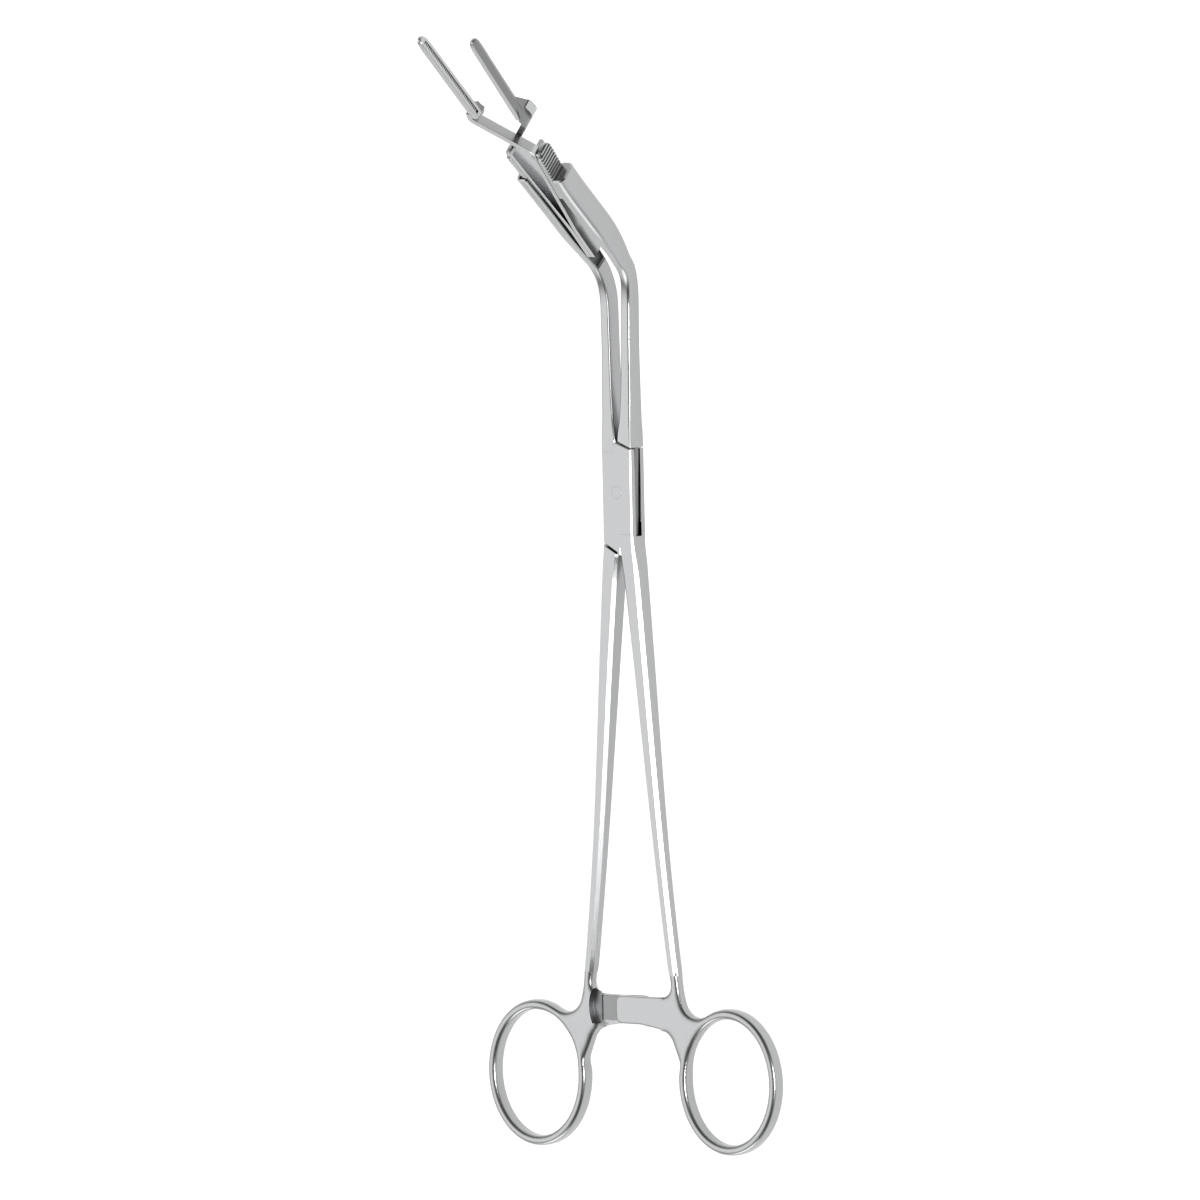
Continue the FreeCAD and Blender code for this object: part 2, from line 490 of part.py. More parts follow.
box_slotted = cut("box_slotted", box_rounded, fuse("box_tools", [slot, pin_bore]))

# Handle of the box half: shank, ring, web in the crotch and ratchet bar.
shank = loft("shank", [
    section("shank_%d" % n, "shank_w_%d" % n, "shank_d_%d" % n, "shank_corner",
            "shank_x_%d" % n, "shank_y_%d" % n, "mid_z", 0) for n in range(1, len(SHANK) + 1)])


def ellipse(name, half_x, half_y):
    """Upright oval post with its long axis along the instrument, at the ring centre."""
    curve = doc.addObject("Part::Ellipse", name + "_curve")
    bind(curve, "MajorRadius", half_y)
    bind(curve, "MinorRadius", half_x)
    curve.Placement = FreeCAD.Placement(FreeCAD.Vector(0, 0, 0), FreeCAD.Rotation(FreeCAD.Vector(0, 0, 1), 90))
    bind(curve, ".Placement.Base.x", "ring_x")
    bind(curve, ".Placement.Base.y", "-ring_y")
    bind(curve, ".Placement.Base.z", "ring_z")
    solid = doc.addObject("Part::Extrusion", name)
    solid.Base = curve
    solid.DirMode = "Custom"
    solid.Dir = FreeCAD.Vector(0, 0, 1)
    solid.Solid = True
    bind(solid, "LengthFwd", "ring_depth")
    return solid


ring_cut = cut("ring_cut", ellipse("ring_outer", "ring_out_x", "ring_out_y"),
               ellipse("ring_inner", "ring_hole_x", "ring_hole_y"))
ring = soften("ring", ring_cut, [("ring_edge", flat_rim)], "Part::Chamfer")
web_plate = prism("web_plate", [
    ("web_left", "-crotch_y"), ("web_left", "-web_low"), ("web_low_x", "-web_low"),
    ("crotch_in_x", "-crotch_in_y"), ("crotch_end_x", "-crotch_end_y"), ("crotch_x", "-crotch_y")],
    "web_z", "crotch_depth")
web_round = cylinder("web_round", "crotch_radius", "crotch_depth", "web_z")
bind(web_round, ".Placement.Base.x", "crotch_x")
bind(web_round, ".Placement.Base.y", "-crotch_y")
web = cut("web", web_plate, web_round)

# Upper shank and channel jaw: a loft from the box to the bend and on up the jaw, then the channel.
def channel_jaw(name, jaw_place, floor_place):
    """Upper shank with its jaw, on the right of the centre line."""
    rows = [
        section("%s_neck_%d" % (name, n), "neck_w_%d" % n, "neck_d_%d" % n, "neck_corner",
                "neck_x_%d" % n, "neck_y_%d" % n, "mid_z", 0) for n in range(1, len(NECK) + 1)]
    rows += [
        section("%s_jaw_%d" % (name, n), "jaw_w_%d" % n, "jaw_d_%d" % n, "jaw_corner",
                jaw_place + "_%d" % n, "jaw_y_at_%d" % n, "jaw_z_at_%d" % n, "jaw_angle")
        for n in range(1, len(JAW) + 1)]
    cutter = [
        section("%s_channel_%d" % (name, n), "channel_cut", "channel_w_%d" % n, "channel_corner",
                floor_place + "_%d" % n, "channel_y_at_%d" % n, "channel_z_at_%d" % n, "jaw_angle")
        for n in range(1, CHANNEL_COUNT + 1)]
    return cut(name + "_jaw", loft(name + "_bar", rows), loft(name + "_channel", cutter))


right_jaw = channel_jaw("right", "jaw_x", "channel_mid")
left_jaw = mirror("left_jaw_mirrored", channel_jaw("left", "jaw_left", "channel_mid_left"))

# Ratchet bar of the box half; its teeth face down, onto those of the other bar.
bar_plate = prism("bar_plate", [
    ("-bar_reach", "-bar_bottom"), ("bar_straight", "-bar_bottom"), ("bar_low_x", "-bar_low_y"),
    ("bar_root_low_x", "-bar_root_low"), ("bar_root_out_x", "-bar_root_low"),
    ("bar_root_out_top_x", "-bar_root_top"), ("bar_root_top_x", "-bar_root_top"),
    ("bar_top_x", "-bar_top"), ("-bar_reach", "-bar_top")], "bar_z", "bar_thickness")
bar_rounded = soften("bar_rounded", bar_plate, [
    ("bar_round", lambda e: upright_at(e, "-bar_reach", None)),
    ("bar_low_round", lambda e: upright_at(e, "bar_low_x", "-bar_low_y")),
    ("bar_top_round", lambda e: upright_at(e, "bar_top_x", "-bar_top"))])
saw = []
for n in range(int(val("tooth_count")) + 1):
    if n:
        saw.append(("tooth_x_%d" % n, "bar_z"))
    saw.append(("tooth_x_%d" % n, "tooth_root_z"))
saw[-1] = (saw[-1][0], "tooth_under")
teeth = prism("teeth", [("tooth_x_0", "tooth_under")] + saw, 0, "tooth_cut_length")
teeth.Placement = FreeCAD.Placement(FreeCAD.Vector(0, 0, 0), FreeCAD.Rotation(FreeCAD.Vector(1, 0, 0), 90))
bind(teeth, ".Placement.Base.y", "-tooth_cut_y")
upper_bar = cut("upper_bar", bar_rounded, teeth)
flipped_bar = doc.addObject("Part::Mirroring", "flipped_bar")
flipped_bar.Source = upper_bar
flipped_bar.Normal = FreeCAD.Vector(0, 0, 1)
flipped_bar.Base = FreeCAD.Vector(0, 0, val("mid_z"))
bind(flipped_bar, "Base.z", "mid_z")

box_half = fuse("box_half", [box_slotted, shank, ring, web, upper_bar, left_jaw])

# Tongue half: thin tongue, full-depth roots outside the box, the mirrored handle and the other jaw.
tongue_strip = prism("tongue_strip", [
    ("-tongue_side", "-cutter_clear"), ("tongue_side", "-cutter_clear"),
    ("tongue_side", "cutter_clear"), ("-tongue_side", "cutter_clear")], "tongue_z", "tongue_thickness")
tongue_disc = common("tongue_disc", cylinder("tongue_round", "tongue_reach", "tongue_thickness", "tongue_z"),
                     tongue_strip)
tongue_low = prism("tongue_low", [
    ("-tongue_side", "-box_low_root"), ("-neck_flank", "-box_low_root"),
    ("-neck_flank", 0), ("-tongue_side", 0)], "tongue_z", "tongue_thickness")
tongue_top = prism("tongue_top", [
    ("neck_flank", 0), ("tongue_side", 0),
    ("tongue_side", "box_top_root"), ("neck_flank", "box_top_root")], "tongue_z", "tongue_thickness")
tongue = cut("tongue", fuse("tongue_blank", [tongue_disc, tongue_low, tongue_top]),
             cylinder("tongue_bore", "tongue_hole", "box_thickness", 0))
low_root = prism("low_root", [
    ("-box_half_width", "-low_corner_gap"), ("-box_root_side", "-box_low_root"),
    ("-middle_gap", "-box_low_root"), ("-middle_gap", "-low_mid_gap")], "root_inset", "root_height")
top_root = prism("top_root", [
    ("middle_gap", "top_mid_gap"), ("box_half_width", "top_corner_gap"),
    ("box_half_width", "box_top_root"), ("middle_gap", "box_top_root")], "root_inset", "root_height")
recess_disc = cylinder("recess_disc", "recess_radius", "recess_depth", "recess_z")
bind(recess_disc, ".Placement.Base.x", "recess_mid_x")
bind(recess_disc, ".Placement.Base.y", "-recess_mid_y")
recess_band = prism("recess_band", [
    (0, "-recess_low_y"), ("cutter_clear", "-recess_low_y"),
    ("cutter_clear", "-recess_top_y"), (0, "-recess_top_y")], "recess_z", "recess_depth")
recess = common("recess", recess_disc, recess_band)
handle = cut("handle", fuse("handle_blank", [shank, ring, web]), recess)
tongue_half = fuse("tongue_half", [
    tongue, low_root, top_root, mirror("left_handle", handle), mirror("lower_bar", flipped_bar), right_jaw])

box_lock_pin = cylinder("box_lock_pin", "pin_radius", "box_thickness", 0)

# Clamp arms, drawn in the plane of the jaws: X across, Y along the jaws, Z towards the front.


def arm(name, cross_lift):
    """Leg, crossing strip and jaw root of one spring arm, with the leg on the right."""
    leg = prism(name + "_leg", [
        ("arm_play", "heel_s"), ("heel_half", "heel_s"), ("heel_half", "heel_shoulder"),
        ("leg_foot_x", "leg_foot_s"), ("leg_out_x", "leg_out_s"), ("leg_top_x", "leg_top_s"),
        ("arm_play", "merge_s")], "-strip_half", "strip_width")
    crossing = prism(name + "_crossing", [
        ("leg_top_x", "cross_start"), ("leg_out_x", "leg_out_s"), ("cross_top_x", "cross_top_s"),
        ("-cross_far_x", "cross_far_s"), ("-cross_low_x", "cross_low_s")], cross_lift, "cross_width")
    root = prism(name + "_root", [
        ("-cross_low_x", "cross_low_s"), ("-cross_far_x", "cross_far_s"), ("-root_seat_x", "root_seat_s"),
        ("-root_seat_x", "root_top_s"), ("-root_out_x", "root_top_s"), ("-root_out_x", "root_low_s")],
        "-strip_half", "strip_width")
    return fuse(name + "_arm", [leg, crossing, root])


def blade(name):
    """Toothed jaw blade of the arm whose leg is on the right."""
    solid = prism(name + "_solid", [
        ("-root_seat_x", "root_seat_s"), ("-blade_inner", "root_seat_s"), ("-blade_tip_inner", "blade_tip_s"),
        ("-blade_tip_back", "blade_tip_s"), ("-root_out_x", "root_top_s"), ("-root_seat_x", "root_top_s")],
        "blade_near", "blade_width")
    blunt = soften(name + "_blunt", solid, [
        ("blade_tip_round", lambda e: e.BoundBox.YMin > val("blade_tip_s") - 1e-3 and e.BoundBox.ZLength < 1e-6)])
    groove = prism(name + "_groove", [
        ("-groove_clear", "merge_s"), ("-groove_clear", "clamp_clear"), ("-groove_tip_floor", "clamp_clear"),
        ("-groove_tip_floor", "blade_tip_s"), ("-groove_floor", "root_seat_s"),
        ("-groove_floor", "merge_s")], "groove_side", "groove_width")
    return cut(name + "_blade", blunt, groove)


def finger_plate(name):
    """Ribbed plate on the outer face of the leg on the right."""
    comb = [(0, "-plate_length"), ("plate_thickness", "-plate_length")]
    for n in reversed(range(int(val("rib_count")))):
        comb += [("plate_thickness", "-rib_low_%d" % n), ("plate_over", "-rib_low_%d" % n),
                 ("plate_over", "-rib_high_%d" % n), ("plate_thickness", "-rib_high_%d" % n)]
    comb += [("plate_thickness", 0), (0, 0)]
    ribbed = prism(name + "_ribbed", comb, "-strip_half", "strip_width")
    pad = prism(name + "_pad", [
        (0, "-plate_length"), ("plate_clear", "-plate_length"), ("plate_clear", 0), (0, 0)],
        "-strip_half", "strip_width")
    rounded = soften(name + "_rounded", pad, [
        ("plate_round", lambda e: e.BoundBox.YMin > -1e-6 and e.BoundBox.ZLength < 1e-6)])
    turn = FreeCAD.Rotation(FreeCAD.Vector(0, 0, -1), val("leg_lean"))
    for piece in (ribbed, rounded):
        piece.Placement = FreeCAD.Placement(FreeCAD.Vector(val("leg_out_x"), val("leg_out_s"), 0), turn)
        bind(piece, ".Placement.Base.x", "leg_out_x")
        bind(piece, ".Placement.Base.y", "leg_out_s")
        bind(piece, ".Placement.Rotation.Angle", "leg_lean")
    return common(name + "_plate", ribbed, rounded)


clamp_front_arm = on_jaw(arm("front", "cross_play"))
clamp_back_arm = on_jaw(mirror("back_arm_mirrored", arm("back", "-strip_half")))
front_jaw_blade = on_jaw(blade("front"))
back_jaw_blade = on_jaw(mirror("back_blade_mirrored", blade("back")))
front_finger_plate = on_jaw(finger_plate("front"))
back_finger_plate = on_jaw(mirror("back_plate_mirrored", finger_plate("back")))

NODES = {
    "box_half": box_half, "tongue_half": tongue_half, "box_lock_pin": box_lock_pin,
    "clamp_front_arm": clamp_front_arm, "clamp_back_arm": clamp_back_arm,
    "front_jaw_blade": front_jaw_blade, "back_jaw_blade": back_jaw_blade,
    "front_finger_plate": front_finger_plate, "back_finger_plate": back_finger_plate}
doc.recompute()
for thing in doc.Objects:
    if "Invalid" in thing.State or "Error" in thing.State:
        raise RuntimeError("%s did not recompute: %s" % (thing.Name, thing.State))
for node, thing in NODES.items():
    thing.Label = node
    shape = thing.Shape
    if shape.isNull() or not shape.isValid() or len(shape.Solids) != 1:
        raise RuntimeError("%s is not one valid solid" % node)
    shape.exportStep("parts/%s.step" % node)
    print(node, round(shape.Volume, 1), shape.BoundBox)
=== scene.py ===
"""Looks of the bulldog clamp applier, laid out as an add-on and run as a script.

The pieces are modelled in millimetres in the row frame and brought to metres when they are placed.
X is the opening direction, Y runs towards the jaws, Z comes out of the box's front face.
"""

import math

import bmesh
import bpy
from mathutils import Matrix, Vector


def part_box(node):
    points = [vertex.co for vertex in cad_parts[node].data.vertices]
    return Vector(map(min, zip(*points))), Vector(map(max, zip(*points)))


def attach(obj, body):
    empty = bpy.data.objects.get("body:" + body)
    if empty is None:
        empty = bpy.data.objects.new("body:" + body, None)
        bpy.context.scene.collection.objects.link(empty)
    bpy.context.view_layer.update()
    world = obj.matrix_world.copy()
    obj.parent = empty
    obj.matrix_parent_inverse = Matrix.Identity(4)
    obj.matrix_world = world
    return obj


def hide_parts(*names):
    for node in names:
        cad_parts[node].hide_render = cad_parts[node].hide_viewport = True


bl_info = {
    "name": "Bulldog clamp applier",
    "version": (1, 0, 0),
    "blender": (4, 5, 0),
    "location": "View3D > Sidebar > Clamp applier",
    "description": "Builds the visible pieces of a bulldog clamp applier round its CAD frame",
    "category": "Object",
}

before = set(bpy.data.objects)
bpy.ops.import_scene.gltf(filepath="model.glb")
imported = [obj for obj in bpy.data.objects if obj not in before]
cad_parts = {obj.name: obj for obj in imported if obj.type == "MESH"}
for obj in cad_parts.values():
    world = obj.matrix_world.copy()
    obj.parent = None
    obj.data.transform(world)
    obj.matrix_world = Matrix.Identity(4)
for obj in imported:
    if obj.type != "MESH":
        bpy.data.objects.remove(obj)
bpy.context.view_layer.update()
MM = 0.001


def node_box(name):
    """Corners of a CAD node in millimetres."""
    low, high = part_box(name)
    return low / MM, high / MM


PIN_LOW, PIN_HIGH = node_box("box_lock_pin")
HALF_LOW, HALF_HIGH = node_box("box_half")
MID_Z = PIN_HIGH.z / 2

# Sections as rows: share of the length, then places across, width and depth, as in the CAD.
SHANK = ((0.0, 0.0, 4.5, 5.2), (0.05, 0.055, 4.4, 5.1), (0.22, 0.195, 3.9, 4.7), (0.563, 0.473, 3.1, 3.7),
         (0.803, 0.719, 2.8, 3.4), (0.906, 0.859, 2.8, 3.4), (1.0, 1.0, 2.4, 3.2))
NECK = ((0.0, 2.32, 4.0, 5.3), (0.162, 2.6, 3.4, 4.95), (0.42, 2.85, 2.9, 4.55), (0.71, 2.95, 2.65, 4.35),
        (1.0, 3.1, 2.6, 4.3))
JAW = ((0.168, 5.1, 3.5, 2.8, 4.4), (0.309, 5.9, 3.75, 2.9, 5.4), (0.464, 6.05, 4.1, 3.3, 6.4),
       (0.657, 5.6, 4.5, 3.5, 6.6), (0.85, 5.2, 5.1, 3.5, 6.6), (1.0, 5.3, 5.7, 3.4, 6.4))
CHANNEL = ((0.155, 4.4, 2.8, 0.6), (0.374, 4.9, 3.2, 0.87), (0.541, 5.05, 3.7, 1.0), (0.709, 4.7, 4.7, 1.0),
           (0.85, 4.2, 5.45, 1.0), (1.06, 5.35, 6.7, 1.0))


class HandleSizes(bpy.types.PropertyGroup):
    """Sizes of the box lock, the shanks, the rings and the ratchet."""

    ring_hole_x: bpy.props.FloatProperty(
        name="Ring hole half width", description="Half the width of a finger hole",
        default=12.15 * MM, unit="LENGTH")
    ring_hole_y: bpy.props.FloatProperty(
        name="Ring hole half length", description="Half the length of a finger hole",
        default=14.85 * MM, unit="LENGTH")
    ring_band: bpy.props.FloatProperty(
        name="Ring band", description="Ring band in the plane of the handles", default=2.4 * MM, unit="LENGTH")
    ring_depth: bpy.props.FloatProperty(
        name="Ring depth", description="Ring band in depth", default=3.9 * MM, unit="LENGTH")
    ring_corner: bpy.props.FloatProperty(
        name="Ring rounding", description="Rounding of the ring's edges", default=1.1 * MM, unit="LENGTH")
    handle_length: bpy.props.FloatProperty(
        name="Handle length", description="Pin to the centre of a finger ring",
        default=138.0 * MM, unit="LENGTH")
    box_half_width: bpy.props.FloatProperty(
        name="Box half width", description="Centre line to the side of the box", default=4.3 * MM, unit="LENGTH")
    bar_thickness: bpy.props.FloatProperty(
        name="Ratchet bar", description="Thickness of a ratchet bar over its teeth",
        default=1.62 * MM, unit="LENGTH")
    tooth_pitch: bpy.props.FloatProperty(
        name="Tooth pitch", description="Pitch of the ratchet teeth", default=2.7 * MM, unit="LENGTH")
    weld_cell: bpy.props.FloatProperty(
        name="Forging cell", description="Cell in which the parts of a forging are run together",
        default=0.24 * MM, unit="LENGTH")


class JawSizes(bpy.types.PropertyGroup):
    """Sizes of the upper shanks and the channel jaws."""

    bend_y: bpy.props.FloatProperty(
        name="Bend", description="Pin to the bend of the jaws", default=50.0 * MM, unit="LENGTH")
    angle: bpy.props.FloatProperty(
        name="Jaw angle", description="Jaws out of the plane of the handles",
        default=math.radians(45), subtype="ANGLE")
    length: bpy.props.FloatProperty(
        name="Jaw length", description="Bend to the tips of the jaws", default=38.8 * MM, unit="LENGTH")
    channel_width: bpy.props.FloatProperty(
        name="Channel width", description="Channel between the walls of a jaw", default=5.6 * MM, unit="LENGTH")


class ClampSizes(bpy.types.PropertyGroup):
    """Sizes of the loaded bulldog clamp."""

    offset: bpy.props.FloatProperty(
        name="Clamp offset", description="Clamp off the centre line", default=-0.7 * MM, unit="LENGTH")
    strip_width: bpy.props.FloatProperty(
        name="Strip width", description="Width of the spring strip", default=5.2 * MM, unit="LENGTH")
    strip_thickness: bpy.props.FloatProperty(
        name="Strip thickness", description="Spring strip in the leg", default=1.35 * MM, unit="LENGTH")
    plate_length: bpy.props.FloatProperty(
        name="Finger plate", description="Length of a finger plate", default=15.6 * MM, unit="LENGTH")
    rib_pitch: bpy.props.FloatProperty(
        name="Rib pitch", description="Pitch of the ribs on the finger plates", default=1.0 * MM, unit="LENGTH")


class FinishColours(bpy.types.PropertyGroup):
    """Colours of the steels and the room."""

    forged: bpy.props.FloatVectorProperty(
        name="Forged steel", description="Satin stainless steel of the two halves",
        default=(0.38, 0.383, 0.387), subtype="COLOR", size=3)
    spring: bpy.props.FloatVectorProperty(
        name="Spring steel", description="Polished strip of the clamp", default=(0.44, 0.443, 0.447),
        subtype="COLOR", size=3)
    room: bpy.props.FloatVectorProperty(
        name="Room", description="Floor and backdrop", default=(0.93, 0.93, 0.93), subtype="COLOR", size=3)


def in_mm(group, name):
    """One property of a group in millimetres."""
    return getattr(group, name) / MM


# Mesh helpers, all on a bmesh in millimetres.


def rounded(half_u, half_v, corner, outer=None, steps=5):
    """Points round a rectangle with rounded corners; outer is the radius on the +u side."""
    points = []
    for k, (su, sv) in enumerate(((1, 1), (-1, 1), (-1, -1), (1, -1))):
        r = min(outer if outer and su > 0 else corner, half_u * 0.98, half_v * 0.98)
        for i in range(steps):
            turn = math.radians(90) * (k + i / (steps - 1))
            points.append((su * (half_u - r) + r * math.cos(turn), sv * (half_v - r) + r * math.sin(turn)))
    return points


def across(centre, u, v, points):
    """A section's points at their place in space."""
    return [centre + u * a + v * b for a, b in points]


def loft(bm, rows, closed=False):
    """Skin through rows of points, each row extruded from the one before it."""
    ring = bmesh.ops.create_circle(bm, cap_ends=False, segments=len(rows[0]), radius=1)["verts"]
    first = sorted({e for v in ring for e in v.link_edges}, key=lambda e: e.index)
    for v, spot in zip(ring, rows[0]):
        v.co = spot
    edges = first
    faces = []
    for row in rows[1:]:
        made = bmesh.ops.extrude_edge_only(bm, edges=edges)["geom"]
        fresh = {tuple(g.co): g for g in made if isinstance(g, bmesh.types.BMVert)}
        ring = [fresh[tuple(v.co)] for v in ring]
        kept = set(ring)
        edges = [g for g in made if isinstance(g, bmesh.types.BMEdge) and set(g.verts) <= kept]
        faces += [g for g in made if isinstance(g, bmesh.types.BMFace)]
        for v, spot in zip(ring, row):
            v.co = spot
    if closed:
        faces += bmesh.ops.bridge_loops(bm, edges=first + edges)["faces"]
    else:
        faces += bmesh.ops.contextual_create(bm, geom=first)["faces"]
        faces += bmesh.ops.contextual_create(bm, geom=edges)["faces"]
    bmesh.ops.recalc_face_normals(bm, faces=faces)
    return faces


def plate(bm, outline, low, high):
    """Flat plate with the given outline between two levels; returns its faces."""
    spots = [bm.verts.new((x, y, low)) for x, y in outline]
    base = bm.faces.new(spots)
    made = bmesh.ops.extrude_face_region(bm, geom=[base], use_keep_orig=True)["geom"]
    top = [g for g in made if isinstance(g, bmesh.types.BMVert)]
    bmesh.ops.translate(bm, verts=top, vec=(0, 0, high - low))
    faces = {f for v in spots + top for f in v.link_faces}
    bmesh.ops.recalc_face_normals(bm, faces=list(faces))
    return faces


def soften(bm, faces, width, wanted, segments=2):
    """Round the edges of those faces that pass the test."""
    edges = {e for f in faces for e in f.edges if wanted(e)}
    bmesh.ops.bevel(bm, geom=list(edges), offset=width, offset_type="OFFSET", segments=segments,
                    profile=0.5, affect="EDGES", material=-1, clamp_overlap=True)


def arc(x, y, radius, start, end, steps=6):
    """Points of an arc in degrees, ends included."""
    turns = [math.radians(start + (end - start) * i / steps) for i in range(steps + 1)]
    return [(x + radius * math.cos(t), y + radius * math.sin(t)) for t in turns]


def level(edge):
    """True for an edge that lies in one level plane."""
    return abs(edge.verts[0].co.z - edge.verts[1].co.z) < 1e-5


def sharp(edge):
    """True for an edge between faces that meet at more than 30 degrees."""
    return len(edge.link_faces) == 2 and edge.calc_face_angle() > math.radians(30)


def as_object(bm, name):
    """A bmesh as an object that only lives while it is being worked on."""
    mesh = bpy.data.meshes.new(name)
    bm.to_mesh(mesh)
    bm.free()
    obj = bpy.data.objects.new(name, mesh)
    bpy.context.scene.collection.objects.link(obj)
    return obj


def worked(obj, *others):
    """The object's mesh with its modifiers, as a new bmesh; the objects go."""
    bpy.context.view_layer.update()
    graph = bpy.context.evaluated_depsgraph_get()
    mesh = bpy.data.meshes.new_from_object(obj.evaluated_get(graph))
    bm = bmesh.new()
    bm.from_mesh(mesh)
    bpy.data.meshes.remove(mesh)
    for spent in (obj, *others):
        data = spent.data
        bpy.data.objects.remove(spent)
        bpy.data.meshes.remove(data)
    return bm


def run_together(bm, cell):
    """Run overlapping closed shapes into one skin."""
    obj = as_object(bm, "run_together")
    skin = obj.modifiers.new("skin", "REMESH")
    skin.mode = "VOXEL"
    skin.voxel_size = cell
    return worked(obj)


def carve(bm, tool):
    """Cut one closed shape out of another."""
    obj, cutter = as_object(bm, "carved"), as_object(tool, "cutter")
    cut = obj.modifiers.new("cut", "BOOLEAN")
    cut.operation = "DIFFERENCE"
    cut.solver = "EXACT"
    cut.use_self = True
    cut.object = cutter
    return worked(obj, cutter)


def relax(bm, rounds, wanted):
    """Smooth the skin where the test holds, so that forgings flow into one another."""
    verts = [v for v in bm.verts if wanted(v.co)]
    for _ in range(rounds):
        bmesh.ops.smooth_vert(bm, verts=verts, factor=0.5, use_axis_x=True, use_axis_y=True, use_axis_z=True)


def curve_through(rows, count):
    """Rows of numbers spaced evenly along a smooth curve through the given rows; the first number leads."""
    made = []
    lead = [r[0] for r in rows]
    for i in range(count + 1):
        t = lead[0] + (lead[-1] - lead[0]) * i / count
        k = max(j for j in range(len(rows) - 1) if lead[j] <= t + 1e-9)
        f = (t - lead[k]) / (lead[k + 1] - lead[k])
        row = [t]
        for c in range(1, len(rows[0])):
            slope = [(rows[min(j + 1, len(rows) - 1)][c] - rows[max(j - 1, 0)][c])
                     / (lead[min(j + 1, len(rows) - 1)] - lead[max(j - 1, 0)]) for j in (k, k + 1)]
            span = lead[k + 1] - lead[k]
            a, b = rows[k][c], rows[k + 1][c]
            row.append(a * (1 + 2 * f) * (1 - f) ** 2 + b * f * f * (3 - 2 * f)
                       + slope[0] * span * f * (1 - f) ** 2 - slope[1] * span * f * f * (1 - f))
        made.append(row)
    return made


def place(bm, name, body, slot, material, *nodes, turn=35):
    """Bring a finished bmesh to metres and hang it on its body."""
    bmesh.ops.scale(bm, vec=(MM, MM, MM), verts=bm.verts)
    mesh = bpy.data.meshes.new(name)
    bm.to_mesh(mesh)
    bm.free()
    mesh.shade_smooth()
    mesh.set_sharp_from_angle(angle=math.radians(turn))
    mesh.materials.append(material)
    obj = bpy.data.objects.new(name, mesh)
    bpy.context.scene.collection.objects.link(obj)
    if len(mesh.polygons) < 20000:
        flat = obj.modifiers.new("flat faces", "WEIGHTED_NORMAL")
        flat.keep_sharp = True
    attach(obj, body)
    if nodes:
        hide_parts(*nodes)
    return obj


# Finishes.


def new_group(name, inputs, outputs):
    """Shader node group with its sockets and its two end nodes."""
    group = bpy.data.node_groups.new(name, "ShaderNodeTree")
    for label, kind, default in inputs:
        made = group.interface.new_socket(name=label, in_out="INPUT", socket_type=kind)
        made.default_value = default
    for label, kind in outputs:
        group.interface.new_socket(name=label, in_out="OUTPUT", socket_type=kind)
    return group, group.nodes.new("NodeGroupInput"), group.nodes.new("NodeGroupOutput")


def satin_grain():
    """Fine lengthwise polish marks: a roughness, a tint and a height that vary over the surface."""
    known = bpy.data.node_groups.get("Satin grain")
    if known:
        return known
    group, start, end = new_group(
        "Satin grain",
        [("Base roughness", "NodeSocketFloat", 0.3), ("Roughness spread", "NodeSocketFloat", 0.08),
         ("Colour", "NodeSocketColor", (0.6, 0.6, 0.6, 1)), ("Shade spread", "NodeSocketFloat", 0.06),
         ("Stretch", "NodeSocketVector", (1, 0.08, 1))],
        [("Colour", "NodeSocketColor"), ("Roughness", "NodeSocketFloat"), ("Height", "NodeSocketFloat")])
    nodes, links = group.nodes, group.links
    where = nodes.new("ShaderNodeTexCoord")
    stretch = nodes.new("ShaderNodeVectorMath")
    stretch.operation = "MULTIPLY"
    links.new(where.outputs["Object"], stretch.inputs[0])
    links.new(start.outputs["Stretch"], stretch.inputs[1])
    marks = nodes.new("ShaderNodeTexNoise")
    marks.inputs["Scale"].default_value = 5000
    marks.inputs["Detail"].default_value = 3
    links.new(stretch.outputs[0], marks.inputs["Vector"])
    cloud = nodes.new("ShaderNodeTexNoise")
    cloud.inputs["Scale"].default_value = 260
    cloud.inputs["Detail"].default_value = 4
    links.new(where.outputs["Object"], cloud.inputs["Vector"])
    both = nodes.new("ShaderNodeMath")
    both.operation = "MULTIPLY_ADD"
    both.inputs[1].default_value = 0.6
    links.new(marks.outputs["Fac"], both.inputs[0])
    part = nodes.new("ShaderNodeMath")
    part.operation = "MULTIPLY"
    part.inputs[1].default_value = 0.4
    links.new(cloud.outputs["Fac"], part.inputs[0])
    links.new(part.outputs[0], both.inputs[2])
    centred = nodes.new("ShaderNodeMath")
    centred.operation = "SUBTRACT"
    centred.inputs[1].default_value = 0.5
    links.new(both.outputs[0], centred.inputs[0])
    rough = nodes.new("ShaderNodeMath")
    rough.operation = "MULTIPLY_ADD"
    links.new(centred.outputs[0], rough.inputs[0])
    links.new(start.outputs["Roughness spread"], rough.inputs[1])
    links.new(start.outputs["Base roughness"], rough.inputs[2])
    shade = nodes.new("ShaderNodeMath")
    shade.operation = "MULTIPLY_ADD"
    shade.inputs[2].default_value = 1
    links.new(centred.outputs[0], shade.inputs[0])
    links.new(start.outputs["Shade spread"], shade.inputs[1])
    tint = nodes.new("ShaderNodeVectorMath")
    tint.operation = "SCALE"
    links.new(start.outputs["Colour"], tint.inputs[0])
    links.new(shade.outputs[0], tint.inputs["Scale"])
    links.new(tint.outputs[0], end.inputs["Colour"])
    links.new(rough.outputs[0], end.inputs["Roughness"])
    links.new(both.outputs[0], end.inputs["Height"])
    return group


